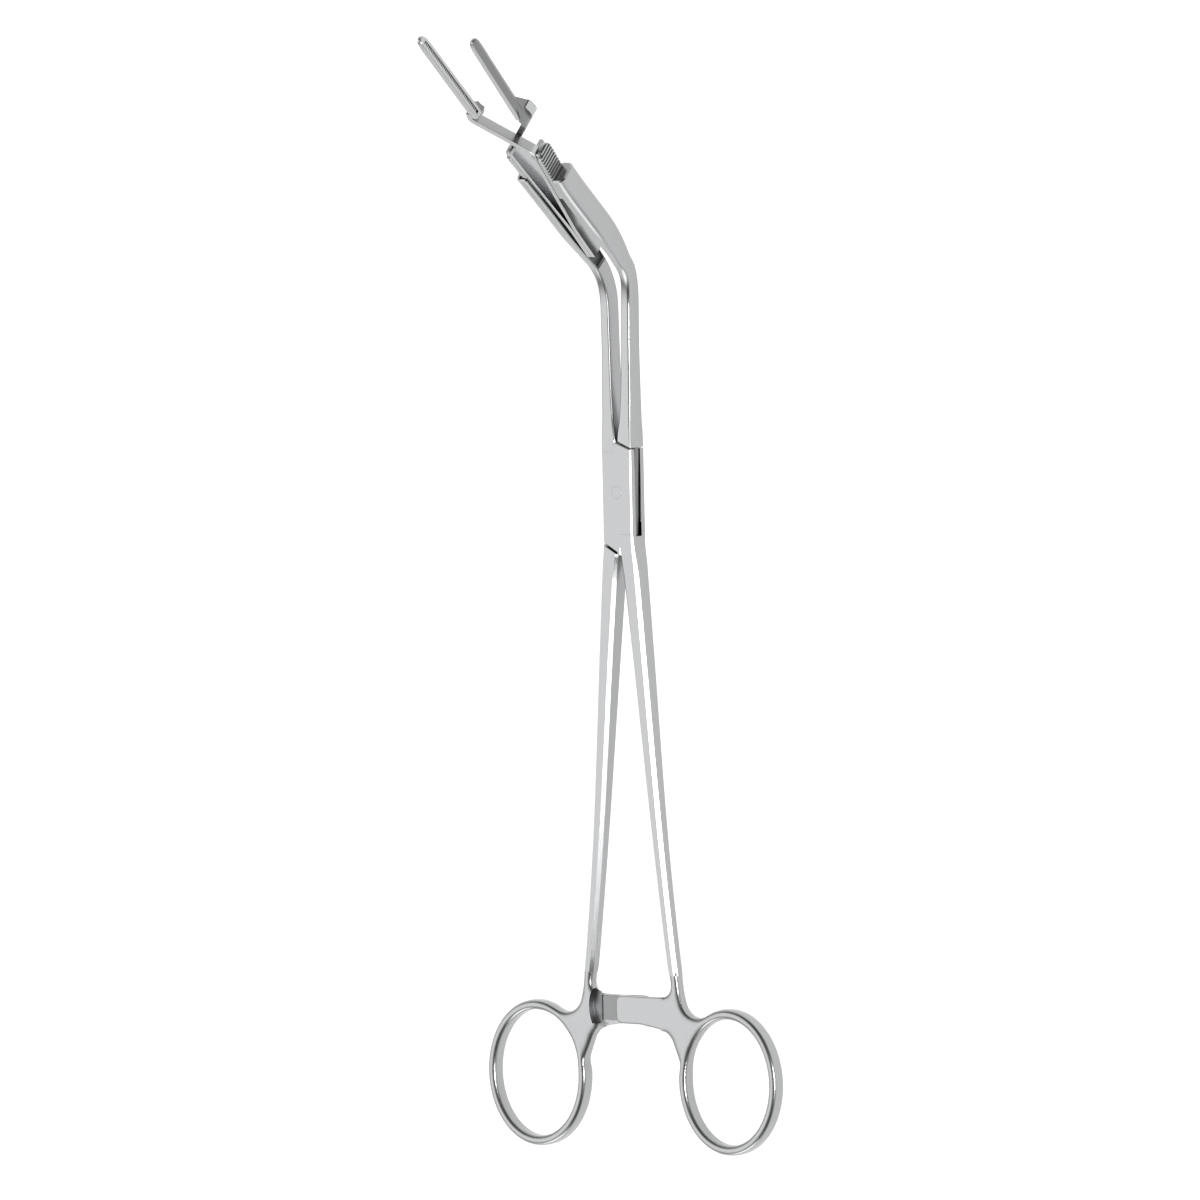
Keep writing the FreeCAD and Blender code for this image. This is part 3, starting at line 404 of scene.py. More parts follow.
def steel(name, colour, roughness, spread, shade, bump, stretch=(1, 0.08, 1)):
    """A stainless finish with its own grain."""
    known = bpy.data.materials.get(name)
    if known:
        return known
    material = bpy.data.materials.new(name)
    material.use_nodes = True
    nodes, links = material.node_tree.nodes, material.node_tree.links
    surface = nodes["Principled BSDF"]
    surface.inputs["Metallic"].default_value = 1
    grain = nodes.new("ShaderNodeGroup")
    grain.node_tree = satin_grain()
    grain.inputs["Base roughness"].default_value = roughness
    grain.inputs["Roughness spread"].default_value = spread
    grain.inputs["Colour"].default_value = (*colour, 1)
    grain.inputs["Shade spread"].default_value = shade
    grain.inputs["Stretch"].default_value = stretch
    relief = nodes.new("ShaderNodeBump")
    relief.inputs["Strength"].default_value = bump
    relief.inputs["Distance"].default_value = 0.02 * MM
    links.new(grain.outputs["Colour"], surface.inputs["Base Color"])
    links.new(grain.outputs["Roughness"], surface.inputs["Roughness"])
    links.new(grain.outputs["Height"], relief.inputs["Height"])
    links.new(relief.outputs["Normal"], surface.inputs["Normal"])
    return material


def forged_finish():
    """Satin stainless of the two halves."""
    colours = bpy.context.scene.applier_colours
    return steel("Forged steel", colours.forged, 0.25, 0.08, 0.08, 0.08)


def painted_deep_shade_finish():
    """Rougher cut steel whose darker colour is painted shade, for the jaw channels, the blade grooves and the grooves
    of the finger plates.
    """
    colours = bpy.context.scene.applier_colours
    # The colour is cut to 0.3 of the forged steel as painted shade.
    return steel("Cut steel, painted deep shade", [0.3 * c for c in colours.forged], 0.45, 0.1, 0.15, 0.3)


def spring_finish():
    """Brighter polish of the clamp's spring strip."""
    colours = bpy.context.scene.applier_colours
    return steel("Spring steel", colours.spring, 0.2, 0.06, 0.06, 0.06)


def blade_finish():
    """Fine satin of the jaw blades."""
    colours = bpy.context.scene.applier_colours
    return steel("Blade steel", colours.spring, 0.27, 0.08, 0.08, 0.1)


def plate_finish():
    """Matt ribs of the finger plates."""
    colours = bpy.context.scene.applier_colours
    return steel("Plate steel", colours.forged, 0.34, 0.1, 0.12, 0.2)


def painted_shade_finish():
    """Duller steel, darker as painted shade, for faces that lie inside the lock and under the blades, the recess floor
    and the jaw roots.
    """
    colours = bpy.context.scene.applier_colours
    # The colour is cut to 0.55 of the forged steel as painted shade.
    return steel("Painted shade steel", [0.55 * c for c in colours.forged], 0.36, 0.1, 0.1, 0.2)


# Forgings.


def mirrored(points, side):
    """Outline points on the given side of the centre line, kept in turning order."""
    return points if side > 0 else [(-x, y) for x, y in reversed(points)]


def flip(points, side):
    """Section points turned over for the left side, kept in turning order."""
    return points if side > 0 else [(-a, b) for a, b in reversed(points)]


FLAT_ON = Vector((0, 0, 1))
ACROSS = Vector((1, 0, 0))
SPLIT_Y = -111.5


def shank_rows(side, first, last, count, head=(), dive=0.0):
    """Sections of a lower shank between two places; head rows lead into it, and its end dives into the ring part."""
    sizes = bpy.context.scene.applier_handles
    start = 14.36
    finish = in_mm(sizes, "handle_length") - 7
    first_x, last_x = 2.6, 15.4
    rows = [across(Vector((side * x, y, MID_Z)), ACROSS, FLAT_ON, rounded(w / 2, d / 2, corner, steps=2))
            for y, x, w, d, corner in head]
    for t, out, w, d in curve_through(SHANK, count):
        y = -start - t * (finish - start)
        if last - dive <= y <= first:
            x = first_x + out * (last_x - first_x)
            sink = 0.12 * max(0.0, last - y) / dive if dive else 0.0
            rows.append(across(Vector((side * x, y, MID_Z)), ACROSS, FLAT_ON,
                               rounded(w / 2 - sink, d / 2 - sink, 0.75, steps=2)))
    return rows


def shear_end(row, x, y, slope):
    """Lay the end section of a shank along its sloping shoulder."""
    return [Vector((p.x, y + (p.x - x) * slope, p.z)) for p in row]


def ring_rows(side):
    """Sections round a finger ring."""
    sizes = bpy.context.scene.applier_handles
    band, depth = in_mm(sizes, "ring_band"), in_mm(sizes, "ring_depth")
    mid_x, mid_y = in_mm(sizes, "ring_hole_x") + band / 2, in_mm(sizes, "ring_hole_y") + band / 2
    rows = []
    for i in range(96):
        t = 2 * math.pi * i / 96
        out = Vector((math.cos(t) / mid_x, math.sin(t) / mid_y, 0)).normalized()
        centre = Vector((side * 28.3 + mid_x * math.cos(t), mid_y * math.sin(t) - in_mm(sizes, "handle_length"),
                         MID_Z))
        rows.append(across(centre, out, FLAT_ON, rounded(band / 2, depth / 2, in_mm(sizes, "ring_corner"))))
    return rows


def bar_outline():
    """Ratchet bar with its fillets, on the right of the centre line."""
    return ([(-4.3, -120.3)] + arc(-2.7, -123.7, 1.6, 180, 270, 4) + [(2.5, -125.3), (5.5, -125.75)]
            + arc(6.9, -131.4, 5.4, 86, 14, 10) + [(14.3, -134.5), (14.9, -134.5), (14.0, -113.0), (12.6, -113.0)]
            + arc(8.8, -115.6, 3.1, 0, -90, 6) + [(4.0, -118.75)] + arc(-2.7, -120.3, 1.6, 90, 180, 4)[:-1])


def bar_root():
    """Root of a ratchet bar between the shank and the milled recess, on the right of the centre line."""
    return ([(9.6, -118.7), (9.6, -125.9), (10.2, -126.2)] + arc(6.9, -131.4, 5.4, 52, 14, 7)
            + [(14.3, -134.5), (14.9, -134.5), (14.0, -113.0), (12.6, -113.0)] + arc(8.8, -115.6, 3.1, 0, -75, 6))


def ring_part(side, bar_low, bar_high):
    """Lower end of a handle: shank, finger ring, crotch web and ratchet bar forged into one."""
    bm = bmesh.new()
    loft(bm, shank_rows(side, SPLIT_Y + 1.5, -200, 60))
    loft(bm, ring_rows(side), closed=True)
    web = ([(13.4, -118.6), (13.6, -128.0), (17.85, -128.0), (21.42, -124.24), (21.69, -122.63)]
           + arc(19.43, -118.63, 4.6, 299.5, 180, 10))
    plate(bm, mirrored(web, side), MID_Z - 1.7, MID_Z + 1.7)
    plate(bm, mirrored(bar_outline(), side), bar_low, bar_high)
    plate(bm, mirrored(bar_root(), side), MID_Z - 1.65, MID_Z + 1.65)
    bm = run_together(bm, in_mm(bpy.context.scene.applier_handles, "weld_cell"))
    heart = Vector((side * 14.6, -121.5, MID_Z))
    crotch = Vector((side * 14.2, -131.0, MID_Z))
    for middle, reach, rounds in ((heart, 200, 5), *((heart, 12.5 - 0.75 * i, 9) for i in range(8)),
                                  *((crotch, 6.0 - 0.75 * i, 14) for i in range(4))):
        relax(bm, rounds, lambda c: (Vector(c) - middle).length < reach and (reach == 200 or side * c.x > 9.6))
    return bm


def slot_cutter(reach):
    """Round-ended slot between the cheeks, open to the lower left and the upper right."""
    tool = bmesh.new()
    bmesh.ops.create_cone(tool, cap_ends=True, segments=96, radius1=reach, radius2=reach, depth=2.2,
                          matrix=Matrix.Translation((0, 0, MID_Z)))
    return tool


class APPLIER_OT_box(bpy.types.Operator):
    """Box of the lock: two cheeks round a slot, bored for the pin."""

    bl_idname = "applier.box"
    bl_label = "Box"

    def execute(self, context):
        half = in_mm(context.scene.applier_handles, "box_half_width")
        bm = bmesh.new()
        outline = [(-half, -12.0), (-0.3, -14.2), (-0.3, -14.8), (0.8, -14.8), (0.8, -13.2), (half, -12.2),
                   (half, 10.2), (-0.3, 11.8), (-0.3, 12.4), (-0.8, 12.4), (-0.8, 11.2), (-half, 10.6)]
        faces = plate(bm, outline, 0.04, PIN_HIGH.z - 0.04)
        soften(bm, faces, 0.45, lambda e: level(e) and abs(e.verts[0].co.y + e.verts[1].co.y) < 30, 1)
        bm = carve(bm, slot_cutter(11.2))
        tool = bmesh.new()
        plate(tool, [(-30, -30), (0.05, -30), (0.05, 0), (-30, 0)], MID_Z - 1.1, MID_Z + 1.1)
        bm = carve(bm, tool)
        tool = bmesh.new()
        plate(tool, [(-0.05, 0), (30, 0), (30, 30), (-0.05, 30)], MID_Z - 1.1, MID_Z + 1.1)
        bm = carve(bm, tool)
        bore = bmesh.new()
        bmesh.ops.create_cone(bore, cap_ends=True, segments=48, radius1=PIN_HIGH.x, radius2=PIN_HIGH.x, depth=8,
                              matrix=Matrix.Translation((0, 0, MID_Z)))
        bm = carve(bm, bore)
        place(bm, "box", "box_half", "forged_steel", forged_finish(), "box_half")
        return {"FINISHED"}


class APPLIER_OT_shanks(bpy.types.Operator):
    """The two lower shanks, from the box lock to the finger rings."""

    bl_idname = "applier.shanks"
    bl_label = "Shanks"

    def execute(self, context):
        head = ((-7.0, 2.5, 3.5, 5.24, 0.45), (-10.5, 2.4, 3.84, 5.34, 0.47), (-13.5, 2.5, 4.2, 5.33, 0.52),
                (-17.0, 2.95, 4.4, 5.22, 0.62))
        bm = bmesh.new()
        loft(bm, shank_rows(1, -19, SPLIT_Y, 60, head, 3.0))
        bm = carve(bm, slot_cutter(11.2))
        place(bm, "right_shank", "box_half", "forged_steel", forged_finish())
        bm = bmesh.new()
        rows = shank_rows(-1, -19, SPLIT_Y, 60, (
            (-13.4, 2.4, 4.2, 5.3, 0.5), (-13.7, 2.4, 4.2, 5.3, 0.5), (-15.6, 2.65, 4.45, 5.26, 0.56),
            (-17.0, 2.9, 4.42, 5.22, 0.62)), 3.0)
        rows[0] = shear_end(rows[0], -4.3, -12.45, -0.55)
        rows[1] = shear_end(rows[1], -4.3, -12.75, -0.55)
        faces = loft(bm, rows)
        end = max((f for f in faces if len(f.verts) > 4), key=lambda f: f.calc_center_median().y)
        soften(bm, [end], 0.12, sharp, 2)
        place(bm, "left_shank", "tongue_half", "forged_steel", forged_finish())
        return {"FINISHED"}


class APPLIER_OT_rings(bpy.types.Operator):
    """Finger rings with the crotch webs and the ratchet bars; the left one has a milled recess."""

    bl_idname = "applier.rings"
    bl_label = "Rings"

    def execute(self, context):
        thickness = in_mm(context.scene.applier_handles, "bar_thickness")
        bm = ring_part(1, MID_Z + 0.08, MID_Z + 0.08 + thickness)
        place(bm, "right_ring", "box_half", "forged_steel", forged_finish())
        bm = ring_part(-1, MID_Z - 0.08 - thickness, MID_Z - 0.08)
        tool = bmesh.new()
        edge = arc(-2.2, -121.6, 10.0, 155, 204, 8)
        plate(tool, [(-4.0, -119.0), (-8.8, -118.6)] + edge + [(-4.0, edge[-1][1])], MID_Z - 0.12, MID_Z + 4)
        bm = carve(bm, tool)
        tool = bmesh.new()
        plate(tool, [(-9.7, -117.0), (-9.7, -127.0), (4.9, -127.0), (4.9, -117.0)], MID_Z - 0.75, MID_Z + 4)
        bm = carve(bm, tool)
        place(bm, "left_ring", "tongue_half", "forged_steel", forged_finish(), "tongue_half")
        # A thin sheet of darker steel on the recess floor: painted shade in the milled recess.
        recess = bmesh.new()
        edge = arc(-2.2, -121.6, 9.9, 156, 203, 8)
        plate(recess, [(-9.75, -118.2)] + edge + [(-9.75, edge[-1][1])], MID_Z - 0.3, MID_Z - 0.1)
        place(recess, "recess", "tongue_half", "forged_steel", painted_shade_finish())
        return {"FINISHED"}


class APPLIER_OT_ratchet(bpy.types.Operator):
    """Toothed faces of the two ratchet bars."""

    bl_idname = "applier.ratchet"
    bl_label = "Ratchet"

    def execute(self, context):
        pitch = in_mm(context.scene.applier_handles, "tooth_pitch")
        for name, side, body in (("left_ratchet_teeth", -1, "tongue_half"), ("right_ratchet_teeth", 1, "box_half")):
            bm = bmesh.new()
            for n in range(5):
                x = pitch * (n - 4.0) + 1.2
                tooth = [(x + 0.3, -124.95), (x + pitch, -124.95), (x + pitch, -119.05), (x + 0.3, -119.05)]
                base, tip = MID_Z - 0.8, MID_Z - 0.06
                faces = plate(bm, tooth, base, tip)
                lean = {v for f in faces for v in f.verts if v.co.z > MID_Z - 0.1 and v.co.x > x + 1}
                bmesh.ops.translate(bm, verts=list(lean), vec=(0, 0, -0.6))
                soften(bm, faces, 0.08, sharp, 1)
            if side > 0:
                bmesh.ops.transform(bm, matrix=Matrix.Translation((0, 0, 2 * MID_Z)) @ Matrix.Diagonal((-1, 1, -1, 1)),
                                    verts=bm.verts)
            bmesh.ops.recalc_face_normals(bm, faces=bm.faces)
            place(bm, name, body, "forged_steel", forged_finish())
        return {"FINISHED"}


class APPLIER_OT_tongue(bpy.types.Operator):
    """Tongue of the box lock between the two cheeks, with its bore on the pin."""

    bl_idname = "applier.tongue"
    bl_label = "Tongue"

    def execute(self, context):
        reach = 11.1
        right_end = arc(0, 0, reach, 270, 289, 4)
        left_end = arc(0, 0, reach, 90, 109, 4)
        outline = ([(-0.1, -14.8), (-0.1, -reach)] + right_end + [(4.15, 9.2), (4.15, 12.6), (0.35, 12.6), (0.1, reach)]
                   + left_end + [(-4.15, -9.2), (-4.15, -14.8)])
        bm = bmesh.new()
        faces = plate(bm, outline, MID_Z - 0.72, MID_Z + 0.72)
        soften(bm, faces, 0.1, level, 2)
        bore = bmesh.new()
        bmesh.ops.create_cone(bore, cap_ends=True, segments=48, radius1=PIN_HIGH.x + 0.03,
                              radius2=PIN_HIGH.x + 0.03, depth=8, matrix=Matrix.Translation((0, 0, MID_Z)))
        bm = carve(bm, bore)
        # The tongue gets the darker steel as painted shade, since it sits in the slot between the cheeks.
        place(bm, "tongue", "tongue_half", "forged_steel", painted_shade_finish())
        return {"FINISHED"}


class APPLIER_OT_pin(bpy.types.Operator):
    """Box-lock pin, ground flush."""

    bl_idname = "applier.pin"
    bl_label = "Pin"

    def execute(self, context):
        bm = bmesh.new()
        bmesh.ops.create_cone(bm, cap_ends=True, segments=48, radius1=PIN_HIGH.x - 0.004,
                              radius2=PIN_HIGH.x - 0.004, depth=PIN_HIGH.z - 0.1,
                              matrix=Matrix.Translation((0, 0, MID_Z)))
        soften(bm, list(bm.faces), 0.03, level, 1)
        place(bm, "pin", "box_half", "pin_steel", forged_finish(), "box_lock_pin")
        return {"FINISHED"}


def jaw_matrix(offset=0.0):
    """From the jaw's own plane, X across and Y along the jaws, to the row frame."""
    sizes = bpy.context.scene.applier_jaws
    return (Matrix.Translation((offset, in_mm(sizes, "bend_y"), MID_Z))
            @ Matrix.Rotation(sizes.angle, 4, "X"))


def channel_jaw(side, places, floor):
    """Upper shank and jaw on one side, with its channel."""
    sizes = bpy.context.scene.applier_jaws
    bend, length = in_mm(sizes, "bend_y"), in_mm(sizes, "length")
    turn = jaw_matrix()
    if side < 0:
        heads = ((7.0, 2.4, 3.7, 5.24, 0.3), (10.0, 2.33, 3.98, 5.34, 0.32), (12.4, 2.33, 4.0, 5.33, 0.4),
                 (14.5, 2.4, 3.8, 5.2, 0.45))
    else:
        heads = ((11.1, 2.3, 4.0, 5.3, 0.4), (11.45, 2.3, 4.0, 5.3, 0.4), (14.5, 2.4, 3.8, 5.2, 0.45))
    rows = [across(Vector((side * x, y, MID_Z)), ACROSS, FLAT_ON, flip(rounded(w / 2, d / 2, corner), side))
            for y, x, w, d, corner in heads]
    if side > 0:
        rows[0] = shear_end(rows[0], 4.3, 10.56, -0.4)
        rows[1] = shear_end(rows[1], 4.3, 10.86, -0.4)
    start, finish = 11.96, bend - 7
    for t, x, w, d in curve_through(NECK, 14):
        y = start + t * (finish - start)
        if y > heads[-1][0] + 0.6:
            rows.append(across(Vector((side * x, y, MID_Z)), ACROSS, FLAT_ON,
                               flip(rounded(w / 2, d / 2, 0.45, 0.65), side)))
    low, high = NECK[-1], JAW[0]
    foot = Vector((0, finish, MID_Z))
    head = turn @ Vector((0, high[0] * length, 0))
    knee = Vector((0, bend, MID_Z))
    for i in range(1, 10):
        t = i / 10
        spot = foot * (1 - t) ** 2 + knee * 2 * t * (1 - t) + head * t * t
        ahead = ((knee - foot) * (1 - t) + (head - knee) * t).normalized()
        ease = t * t * (3 - 2 * t)
        w = low[2] + (high[3] - low[2]) * ease
        d = low[3] + (high[4] - low[3]) * ease
        spot.x = side * (low[1] + (high[places] - low[1]) * ease)
        rows.append(across(spot, ACROSS, Vector((0, -ahead.z, ahead.y)),
                           flip(rounded(w / 2, d / 2, 0.42, 0.65 + 1.1 * ease), side)))
    lean = Vector((0, -math.sin(sizes.angle), math.cos(sizes.angle)))
    for row in curve_through(JAW, 24):
        t, x, w, d = row[0], row[places], row[3], row[4]
        rows.append(across(turn @ Vector((side * x, t * length, 0)), ACROSS, lean,
                           flip(rounded(w / 2, d / 2, 0.4, 1.75 + 0.35 * min(1, (t - high[0]) / 0.3)), side)))
    bm = bmesh.new()
    faces = loft(bm, rows)
    tip = max((f for f in faces if len(f.verts) > 4), key=lambda f: f.calc_center_median().z)
    soften(bm, [tip], 0.45, sharp, 1)
    tool = bmesh.new()
    rows = []
    for along, at, wide in curve_through([(r[0], r[floor], r[3]) for r in CHANNEL], 24):
        rows.append(across(turn @ Vector((side * (at - 2.0), along * length, 0)), ACROSS, lean,
                           flip(rounded(2.0, wide * in_mm(sizes, "channel_width") / 2, 0.5), side)))
    loft(tool, rows)
    bm = carve(bm, tool)
    back = turn.inverted()
    wide = [(along * length, share * in_mm(sizes, "channel_width") / 2) for along, _, share in
            curve_through([(r[0], r[floor], r[3]) for r in CHANNEL], 24)]
    # Floor and wall faces of the channel take the second, darker material as painted shade.
    for face in bm.faces:
        spot = back @ face.calc_center_median()
        half = min(wide, key=lambda row: abs(row[0] - spot.y))[1]
        facing = back.to_3x3() @ face.normal
        is_floor = -side * facing.x > 0.8 and abs(spot.z) < half - 0.1
        is_wall = facing.z * spot.z < 0 and abs(facing.z) > 0.8 and abs(spot.z) < half + 0.1
        if wide[0][0] < spot.y < length - 0.3 and (is_floor or is_wall):
            face.material_index = 1
    return bm


class APPLIER_OT_jaws(bpy.types.Operator):
    """Upper shanks with the two channel jaws."""

    bl_idname = "applier.jaws"
    bl_label = "Jaws"

    def execute(self, context):
        for name, side, places, floor, body in (
                ("right_jaw", 1, 1, 1, "tongue_half"), ("left_jaw", -1, 2, 2, "box_half")):
            bm = channel_jaw(side, places, floor)
            if side < 0:
                bm = carve(bm, slot_cutter(11.2))
            obj = place(bm, name, body, "forged_steel", forged_finish())
            # Second material: the darker steel for the channel's painted shade.
            obj.data.materials.append(painted_deep_shade_finish())
            obj.modifiers.remove(obj.modifiers["flat faces"])
            edge = obj.modifiers.new("edge", "BEVEL")
            edge.width = 0.13 * MM
            edge.segments = 2
            edge.limit_method = "ANGLE"
            edge.angle_limit = math.radians(40)
            flat = obj.modifiers.new("flat faces", "WEIGHTED_NORMAL")
            flat.keep_sharp = True
        return {"FINISHED"}


# The loaded clamp, drawn in the plane of the jaws.

LEG_TOP = 47.8
LEG_LEAN = math.atan(2.6 / 26.3)


def strip(bm, middle, side, thickness, low, high):
    """Flat spring strip of even thickness along a line, drawn on the right and turned over for the left."""
    rows = []
    for i, (x, y) in enumerate(middle):
        (x0, y0), (x1, y1) = middle[max(i - 1, 0)], middle[min(i + 1, len(middle) - 1)]
        ahead = Vector((side * (x1 - x0), y1 - y0, 0)).normalized()
        rows.append(across(Vector((side * x, y, (low + high) / 2)), Vector((ahead.y, -ahead.x, 0)), FLAT_ON,
                           rounded(thickness / 2, (high - low) / 2, 0.16, steps=3)))
    return loft(bm, rows)


class APPLIER_OT_clamp_arms(bpy.types.Operator):
    """The clamp's two crossing spring arms."""

    bl_idname = "applier.clamp_arms"
    bl_label = "Clamp arms"

    def execute(self, context):
        sizes = context.scene.applier_clamp
        half, thick = in_mm(sizes, "strip_width") / 2, in_mm(sizes, "strip_thickness")
        for name, side, low, high, body in (
                ("front_arm", 1, 0.05, half, "clamp_front"), ("back_arm", -1, -half, -0.05, "clamp_back")):
            bm = bmesh.new()
            leg = ([(0.58, 10.9), (0.58, 15.0), (0.6, 19.4), (0.7, 21.3)]
                   + [(0.7 + i * 0.65, 21.3 + i * 6.575) for i in range(1, 4)] + [(3.17, 46.3), (3.27, 47.3)])
            strip(bm, leg, side, 1.12, -half, half)
            cross = ([(3.19, 46.2), (3.29, 47.2)] + arc(2.0, 47.5, 1.32, 0, 48, 5)
                     + [(-7.3, 58.5), (-7.85, 59.1), (-8.0, 59.8), (-7.85, 60.5), (-7.4, 61.6)])
            strip(bm, cross, side, thick + 0.2, low, high)
            bmesh.ops.transform(bm, matrix=jaw_matrix(in_mm(sizes, "offset")), verts=bm.verts)
            place(bm, name, body, "spring_steel", spring_finish(), "clamp_" + name)
        return {"FINISHED"}


# Sections of a blade: place along the clamp, gripping face, spine, near side and far side.
BLADE = ((59.9, 5.75, 6.8, 0.3, 2.4), (60.3, 5.72, 7.4, 0.1, 2.6), (62.4, 5.8, 8.05, 0.05, 2.6),
         (64.0, 5.87, 8.1, 0.05, 2.6), (70.0, 6.16, 8.3, 0.05, 2.6), (78.0, 6.53, 8.6, 0.05, 2.6),
         (84.0, 6.82, 8.85, 0.05, 2.6), (85.9, 6.95, 8.85, 0.1, 2.55), (86.9, 7.08, 8.75, 0.3, 2.35),
         (87.4, 7.25, 8.55, 0.6, 2.05), (87.6, 7.5, 8.25, 0.9, 1.75))


class APPLIER_OT_jaw_blades(bpy.types.Operator):
    """Toothed jaw blades of the clamp."""

    bl_idname = "applier.jaw_blades"
    bl_label = "Jaw blades"

    def execute(self, context):
        sizes = context.scene.applier_clamp
        half = in_mm(sizes, "strip_width") / 2
        mid = (0.05 + half) / 2
        for name, side, body in (("front_blade", 1, "clamp_front"), ("back_blade", -1, "clamp_back")):
            bm = bmesh.new()
            rows = []
            for s, inner, back, low, high in BLADE:
                shoulder = inner + 0.7 * (back - inner)
                ridge = low + 0.42 * (high - low)
                spots = [(inner, high - 0.2), (inner, low + 0.2), (inner + 0.15, low), (shoulder, low),
                         (back - 0.12, ridge - 0.25), (back, ridge), (back - 0.12, ridge + 0.25), (shoulder, high),
                         (inner + 0.15, high)]
                rows.append([Vector((-side * x, s, z)) for x, z in spots])
            loft(bm, rows)
            groove = bmesh.new()
            plate(groove, mirrored([(-5.0, 61.0), (-6.3, 61.0), (-7.4, 86.2), (-6.2, 86.2)], side),
                  mid - 0.42, mid + 0.42)
            bm = carve(bm, groove)
            # Faces turned towards the spine take the second, darker material as painted shade.
            for face in bm.faces:
                face.material_index = int(side * face.normal.x < -0.35)
            teeth = bmesh.new()
            for i in range(40):
                s = 61.8 + i * (85.6 - 61.8) / 39
                x = 5.95 + (s - 61.0) * 1.2 / 26.6
                tooth = [(-x, s - 0.15), (-x, s + 0.15), (-x - 0.3, s + 0.15), (-x - 0.3, s - 0.15)]
                plate(teeth, mirrored(tooth, side), mid - 0.36, mid + 0.36)
            bmesh.ops.transform(teeth, matrix=jaw_matrix(in_mm(sizes, "offset")), verts=teeth.verts)
            place(teeth, name.replace("blade", "blade_teeth"), body, "blade_steel", blade_finish())
            # A dark strip along the floor of the groove, as painted shade.
            shade = bmesh.new()
            plate(shade, mirrored([(-6.1, 61.2), (-6.35, 61.2), (-7.5, 86.0), (-7.25, 86.0)], side), mid - 0.4, mid + 0.4)
            bmesh.ops.transform(shade, matrix=jaw_matrix(in_mm(sizes, "offset")), verts=shade.verts)
            place(shade, name.replace("blade", "blade_groove_shade"), body, "blade_steel", painted_deep_shade_finish())
            bmesh.ops.transform(bm, matrix=jaw_matrix(in_mm(sizes, "offset")), verts=bm.verts)
            blade = place(bm, name, body, "blade_steel", blade_finish(), name.replace("_", "_jaw_"))
            # Second material: the darker steel for the blade's painted shade.
            blade.data.materials.append(painted_shade_finish())
            root = bmesh.new()
            top = 62.2 if side > 0 else 66.5
            ear = [(-7.3, 57.7), (-6.2, 59.5), (-6.8, 60.6), (-7.0, top), (-7.9, top + 0.6), (-7.9, 59.2)]
            faces = plate(root, mirrored(ear, side), -1.75 if side > 0 else 0.1 - half, half - 0.1)
            bmesh.ops.subdivide_edges(root, edges=root.edges, cuts=2, use_grid_fill=True)
            for v in root.verts:
                up = max(0, (v.co.y - 61.8) / (top - 61.2))
                v.co.z = v.co.z * (1 - up) + (1.25 if v.co.z > 0 else 0.8) * up
                v.co.x = v.co.x * (1 - up) - side * (7.5 + 0.1 * (abs(v.co.x) - 7.4)) * up
            soften(root, list(root.faces), 0.15, sharp, 2)
            bmesh.ops.transform(root, matrix=jaw_matrix(in_mm(sizes, "offset")), verts=root.verts)
            # The jaw roots take the darker steel as painted shade.
            place(root, name.replace("blade", "jaw_root"), body, "spring_steel", painted_shade_finish())
        return {"FINISHED"}


class APPLIER_OT_finger_plates(bpy.types.Operator):
    """Ribbed finger plates on the legs of the clamp."""

    bl_idname = "applier.finger_plates"
    bl_label = "Finger plates"

    def execute(self, context):
        sizes = context.scene.applier_clamp
        half = in_mm(sizes, "strip_width") / 2
        length, pitch = in_mm(sizes, "plate_length"), in_mm(sizes, "rib_pitch")
        for name, side, body in (("front_plate", 1, "clamp_front"), ("back_plate", -1, "clamp_back")):
            bm = bmesh.new()
            pad = ([(-half, -length), (half, -length)] + arc(half - 2.0, -2.0, 2.0, 0, 90, 6)
                   + arc(2.0 - half, -2.0, 2.0, 90, 180, 6))
            faces = plate(bm, pad, 0, 1.1)
            soften(bm, faces, 0.18, level, 2)
            ribs = bmesh.new()
            for n in range(13):
                top = -0.4 - n * pitch
                reach = half - 0.12 if top < -2 else half - 2.0 + math.sqrt(max(0.5, 4 - (2 + top) ** 2)) - 0.12
                rib = [(-reach, top - 0.5), (reach, top - 0.5), (reach, top), (-reach, top)]
                faces = plate(ribs, rib, 0.95, 1.5)
                soften(ribs, faces, 0.08, sharp, 1)
            stand = Matrix(((0, 0, side, 0), (0, 1, 0, 0), (-side, 0, 0, 0), (0, 0, 0, 1)))
            lean = Matrix.Translation((side * 3.96, 47.6, 0)) @ Matrix.Rotation(-side * LEG_LEAN, 4, "Z")
            # A dark sheet under the ribs, so that the grooves between them show as painted shade.
            rib_gap_shade = bmesh.new()
            plate(rib_gap_shade, [(x * 0.93, y * 0.985 - 0.1) for x, y in pad], 1.0, 1.16)
            for shape in (bm, rib_gap_shade, ribs):
                bmesh.ops.transform(shape, matrix=jaw_matrix(in_mm(sizes, "offset")) @ lean @ stand, verts=shape.verts)
                bmesh.ops.recalc_face_normals(shape, faces=shape.faces)
            place(bm, name, body, "plate_steel", forged_finish(), name.replace("_", "_finger_"))
            place(rib_gap_shade, name.replace("plate", "rib_gap_shade"), body, "plate_steel", painted_deep_shade_finish())
            place(ribs, name.replace("plate", "ribs"), body, "plate_steel", plate_finish())
        return {"FINISHED"}


# Room, light and camera.


